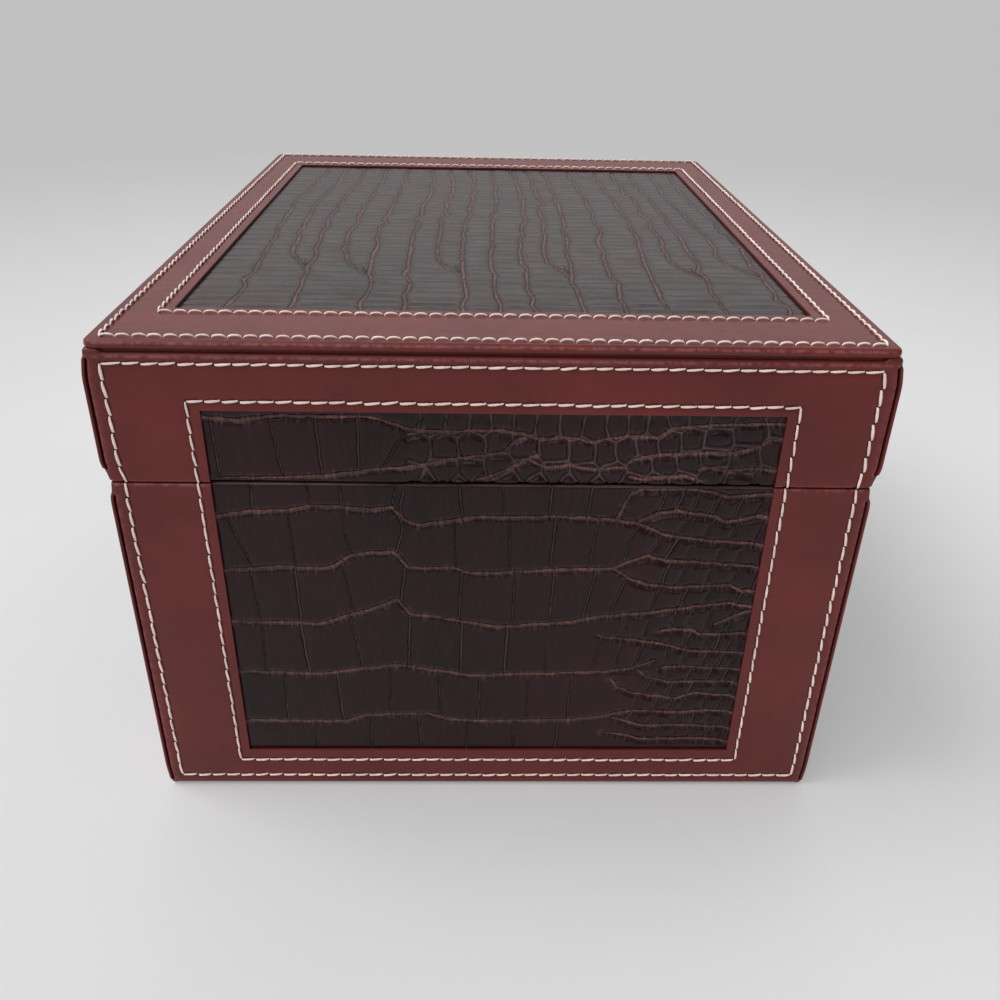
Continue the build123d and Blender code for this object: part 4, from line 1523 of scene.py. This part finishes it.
def make_underside():
    """Felt-covered card under the box, with round corners and softened edges."""
    low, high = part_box("underside_cover")
    felt = add_block("underside_felt", (low + high) / 2, high - low)
    for radius, segments, upright in ((0.006, 8, True), (0.0004, 3, False)):
        with editing(felt, "DESELECT"):
            bpy.ops.mesh.select_mode(type="EDGE")
            bpy.ops.mesh.select_all(action="DESELECT")
        places = vertex_places(felt)
        felt.data.edges.foreach_set("select", [
            (abs(places[a][2] - places[b][2]) > 0.001) == upright
            for a, b in (edge.vertices for edge in felt.data.edges)
        ])
        bpy.ops.object.mode_set(mode="EDIT")
        bpy.ops.mesh.bevel(offset=radius, segments=segments, profile=0.5, affect="EDGES")
        bpy.ops.mesh.select_all(action="DESELECT")
        bpy.ops.object.mode_set(mode="OBJECT")
    finish(felt, 50, "dark_felt", "base", "underside_cloth", "underside_cover")


class KEEPSAKE_OT_cloth(bpy.types.Operator):
    """Makes the padded cloth panels inside the box, and the felt under it"""

    bl_idname = "keepsake.cloth"
    bl_label = "Cloth linings and pads"

    def execute(self, context):
        for half in HALVES:
            for side in SIDES:
                axis = 1 if side in ("front", "back") else 0
                sign = 1 if side in ("front", "left") else -1
                name = f"{half}_{side}"
                make_cloth_panel(f"{name}_cloth", f"{name}_lining", axis, sign, sizes().lining_crown, half)
        pad = make_cloth_panel("base_floor_cushion", "base_floor_pad", 2, 1, 0.0010, "base", 0.0012)
        pad = make_cloth_panel("lid_top_cushion", "lid_top_pad", 2, -1, 0.0009, "lid", 0.0012)
        make_underside()
        return {"FINISHED"}


class KEEPSAKE_OT_carcase(bpy.types.Operator):
    """Gives the wooden boards and the brass hinges their materials"""

    bl_idname = "keepsake.carcase"
    bl_label = "Carcase and hinges"

    def execute(self, context):
        for piece in bpy.data.objects:
            if piece.type == "MESH" and piece.name.endswith("_board"):
                give_material(piece, "carcase_wood")
            elif piece.type == "MESH" and "hinge" in piece.name:
                give_material(piece, "satin_brass")
        return {"FINISHED"}


class KEEPSAKE_PT_panel(bpy.types.Panel):
    """Lists the pieces of the keepsake box"""

    bl_idname = "KEEPSAKE_PT_panel"
    bl_label = "Keepsake box"
    bl_space_type = "VIEW_3D"
    bl_region_type = "UI"
    bl_category = "Keepsake box"

    def draw(self, context):
        layout = self.layout
        for group in (context.scene.keepsake_sizes, context.scene.keepsake_colours):
            box = layout.box()
            for name in group.bl_rna.properties.keys():
                if name not in ("rna_type", "name"):
                    box.prop(group, name)
        for made in PIECES:
            layout.operator(made.bl_idname)


class KEEPSAKE_OT_stage(bpy.types.Operator):
    """Makes the pale floor, the studio lamps and the camera"""

    bl_idname = "keepsake.stage"
    bl_label = "Stage"

    def execute(self, context):
        make_floor()
        make_lamps()
        make_camera()
        return {"FINISHED"}


def make_floor():
    clean_selection()
    bpy.ops.mesh.primitive_circle_add(vertices=96, radius=14.0, fill_type="NGON")
    floor = bpy.context.object
    floor.name = floor.data.name = "pale_floor"
    give_material(floor, "pale_floor_finish")


def make_lamp(name, direction, softness, strength, tint=(1, 1, 1)):
    """Far soft lamp that shines along a direction, with its softness in degrees."""
    light = bpy.data.lights.new(name, "SUN")
    light.angle = math.radians(softness)
    light.energy = strength
    light.color = tint
    lamp = bpy.data.objects.new(name, light)
    bpy.context.scene.collection.objects.link(lamp)
    lamp.matrix_world = Vector(direction).to_track_quat("-Z", "Y").to_matrix().to_4x4()


def make_lamps():
    world = bpy.data.worlds.new("studio_air")
    bpy.context.scene.world = world
    world.use_nodes = True
    tree = world.node_tree
    background = tree.nodes["Background"]
    seen = node(tree, "ShaderNodeLightPath").outputs["Is Camera Ray"]
    around = node(tree, "ShaderNodeTexCoord").outputs["Generated"]
    way = node(tree, "ShaderNodeSeparateXYZ", {"Vector": around})
    rear = map_range(tree, way.outputs["Y"], 0.1, 0.9, 0.30, 1.20)
    lift = map_range(tree, way.outputs["Z"], 0.12, 0.40, 0.16, 1.0)
    air = times(tree, rear, lift)
    strength = node(tree, "ShaderNodeMix", {0: seen, 2: air, 3: BACKDROP})
    background.inputs["Color"].default_value = (1.0, 1.0, 1.0, 1.0)
    tree.links.new(strength.outputs[0], background.inputs["Strength"])
    make_lamp("key_lamp", (0.8, -0.05, -1.0), 40, 1.65)
    make_lamp("front_lamp", (0.45, 1.0, -0.95), 60, 1.05)


def make_camera():
    """Camera at the photograph's place, found by fitting the box's corners in a square frame."""
    place = (-0.006, -0.4446, 0.2915)
    turn, dip, roll = math.radians(1.63), math.radians(29.43), math.radians(-1.29)
    focal_px, frame_px, sensor = 946.75, 1000.0, 36.0
    forward = Vector((math.sin(turn) * math.cos(dip), math.cos(turn) * math.cos(dip), -math.sin(dip)))
    right = Vector((math.cos(turn), -math.sin(turn), 0.0))
    down = forward.cross(right)
    right, down = (
        math.cos(roll) * right + math.sin(roll) * down,
        -math.sin(roll) * right + math.cos(roll) * down,
    )
    data = bpy.data.cameras.new("photo_camera")
    data.sensor_width = sensor
    data.lens = focal_px / frame_px * sensor
    data.clip_start = 0.01
    data.clip_end = 100.0
    camera = bpy.data.objects.new("photo_camera", data)
    bpy.context.scene.collection.objects.link(camera)
    turned = Matrix((right, -down, -forward)).transposed().to_4x4()
    camera.matrix_world = Matrix.Translation(place) @ turned
    bpy.context.scene.camera = camera


PIECES = (
    KEEPSAKE_OT_stage,
    KEEPSAKE_OT_smooth_bands,
    KEEPSAKE_OT_embossed_panels,
    KEEPSAKE_OT_stitching,
    KEEPSAKE_OT_cloth,
    KEEPSAKE_OT_carcase,
)
CLASSES = (KeepsakeSizes, KeepsakeColours, *PIECES, KEEPSAKE_PT_panel)


def register():
    for made in CLASSES:
        bpy.utils.register_class(made)
    bpy.types.Scene.keepsake_sizes = bpy.props.PointerProperty(type=KeepsakeSizes)
    bpy.types.Scene.keepsake_colours = bpy.props.PointerProperty(type=KeepsakeColours)


def unregister():
    del bpy.types.Scene.keepsake_colours
    del bpy.types.Scene.keepsake_sizes
    for made in reversed(CLASSES):
        bpy.utils.unregister_class(made)


def main():
    register()
    bpy.context.scene.view_settings.view_transform = "Standard"
    bpy.ops.keepsake.stage()
    bpy.ops.keepsake.smooth_bands()
    bpy.ops.keepsake.embossed_panels()
    bpy.ops.keepsake.stitching()
    bpy.ops.keepsake.cloth()
    bpy.ops.keepsake.carcase()
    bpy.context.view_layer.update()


if __name__ == "__main__":
    main()
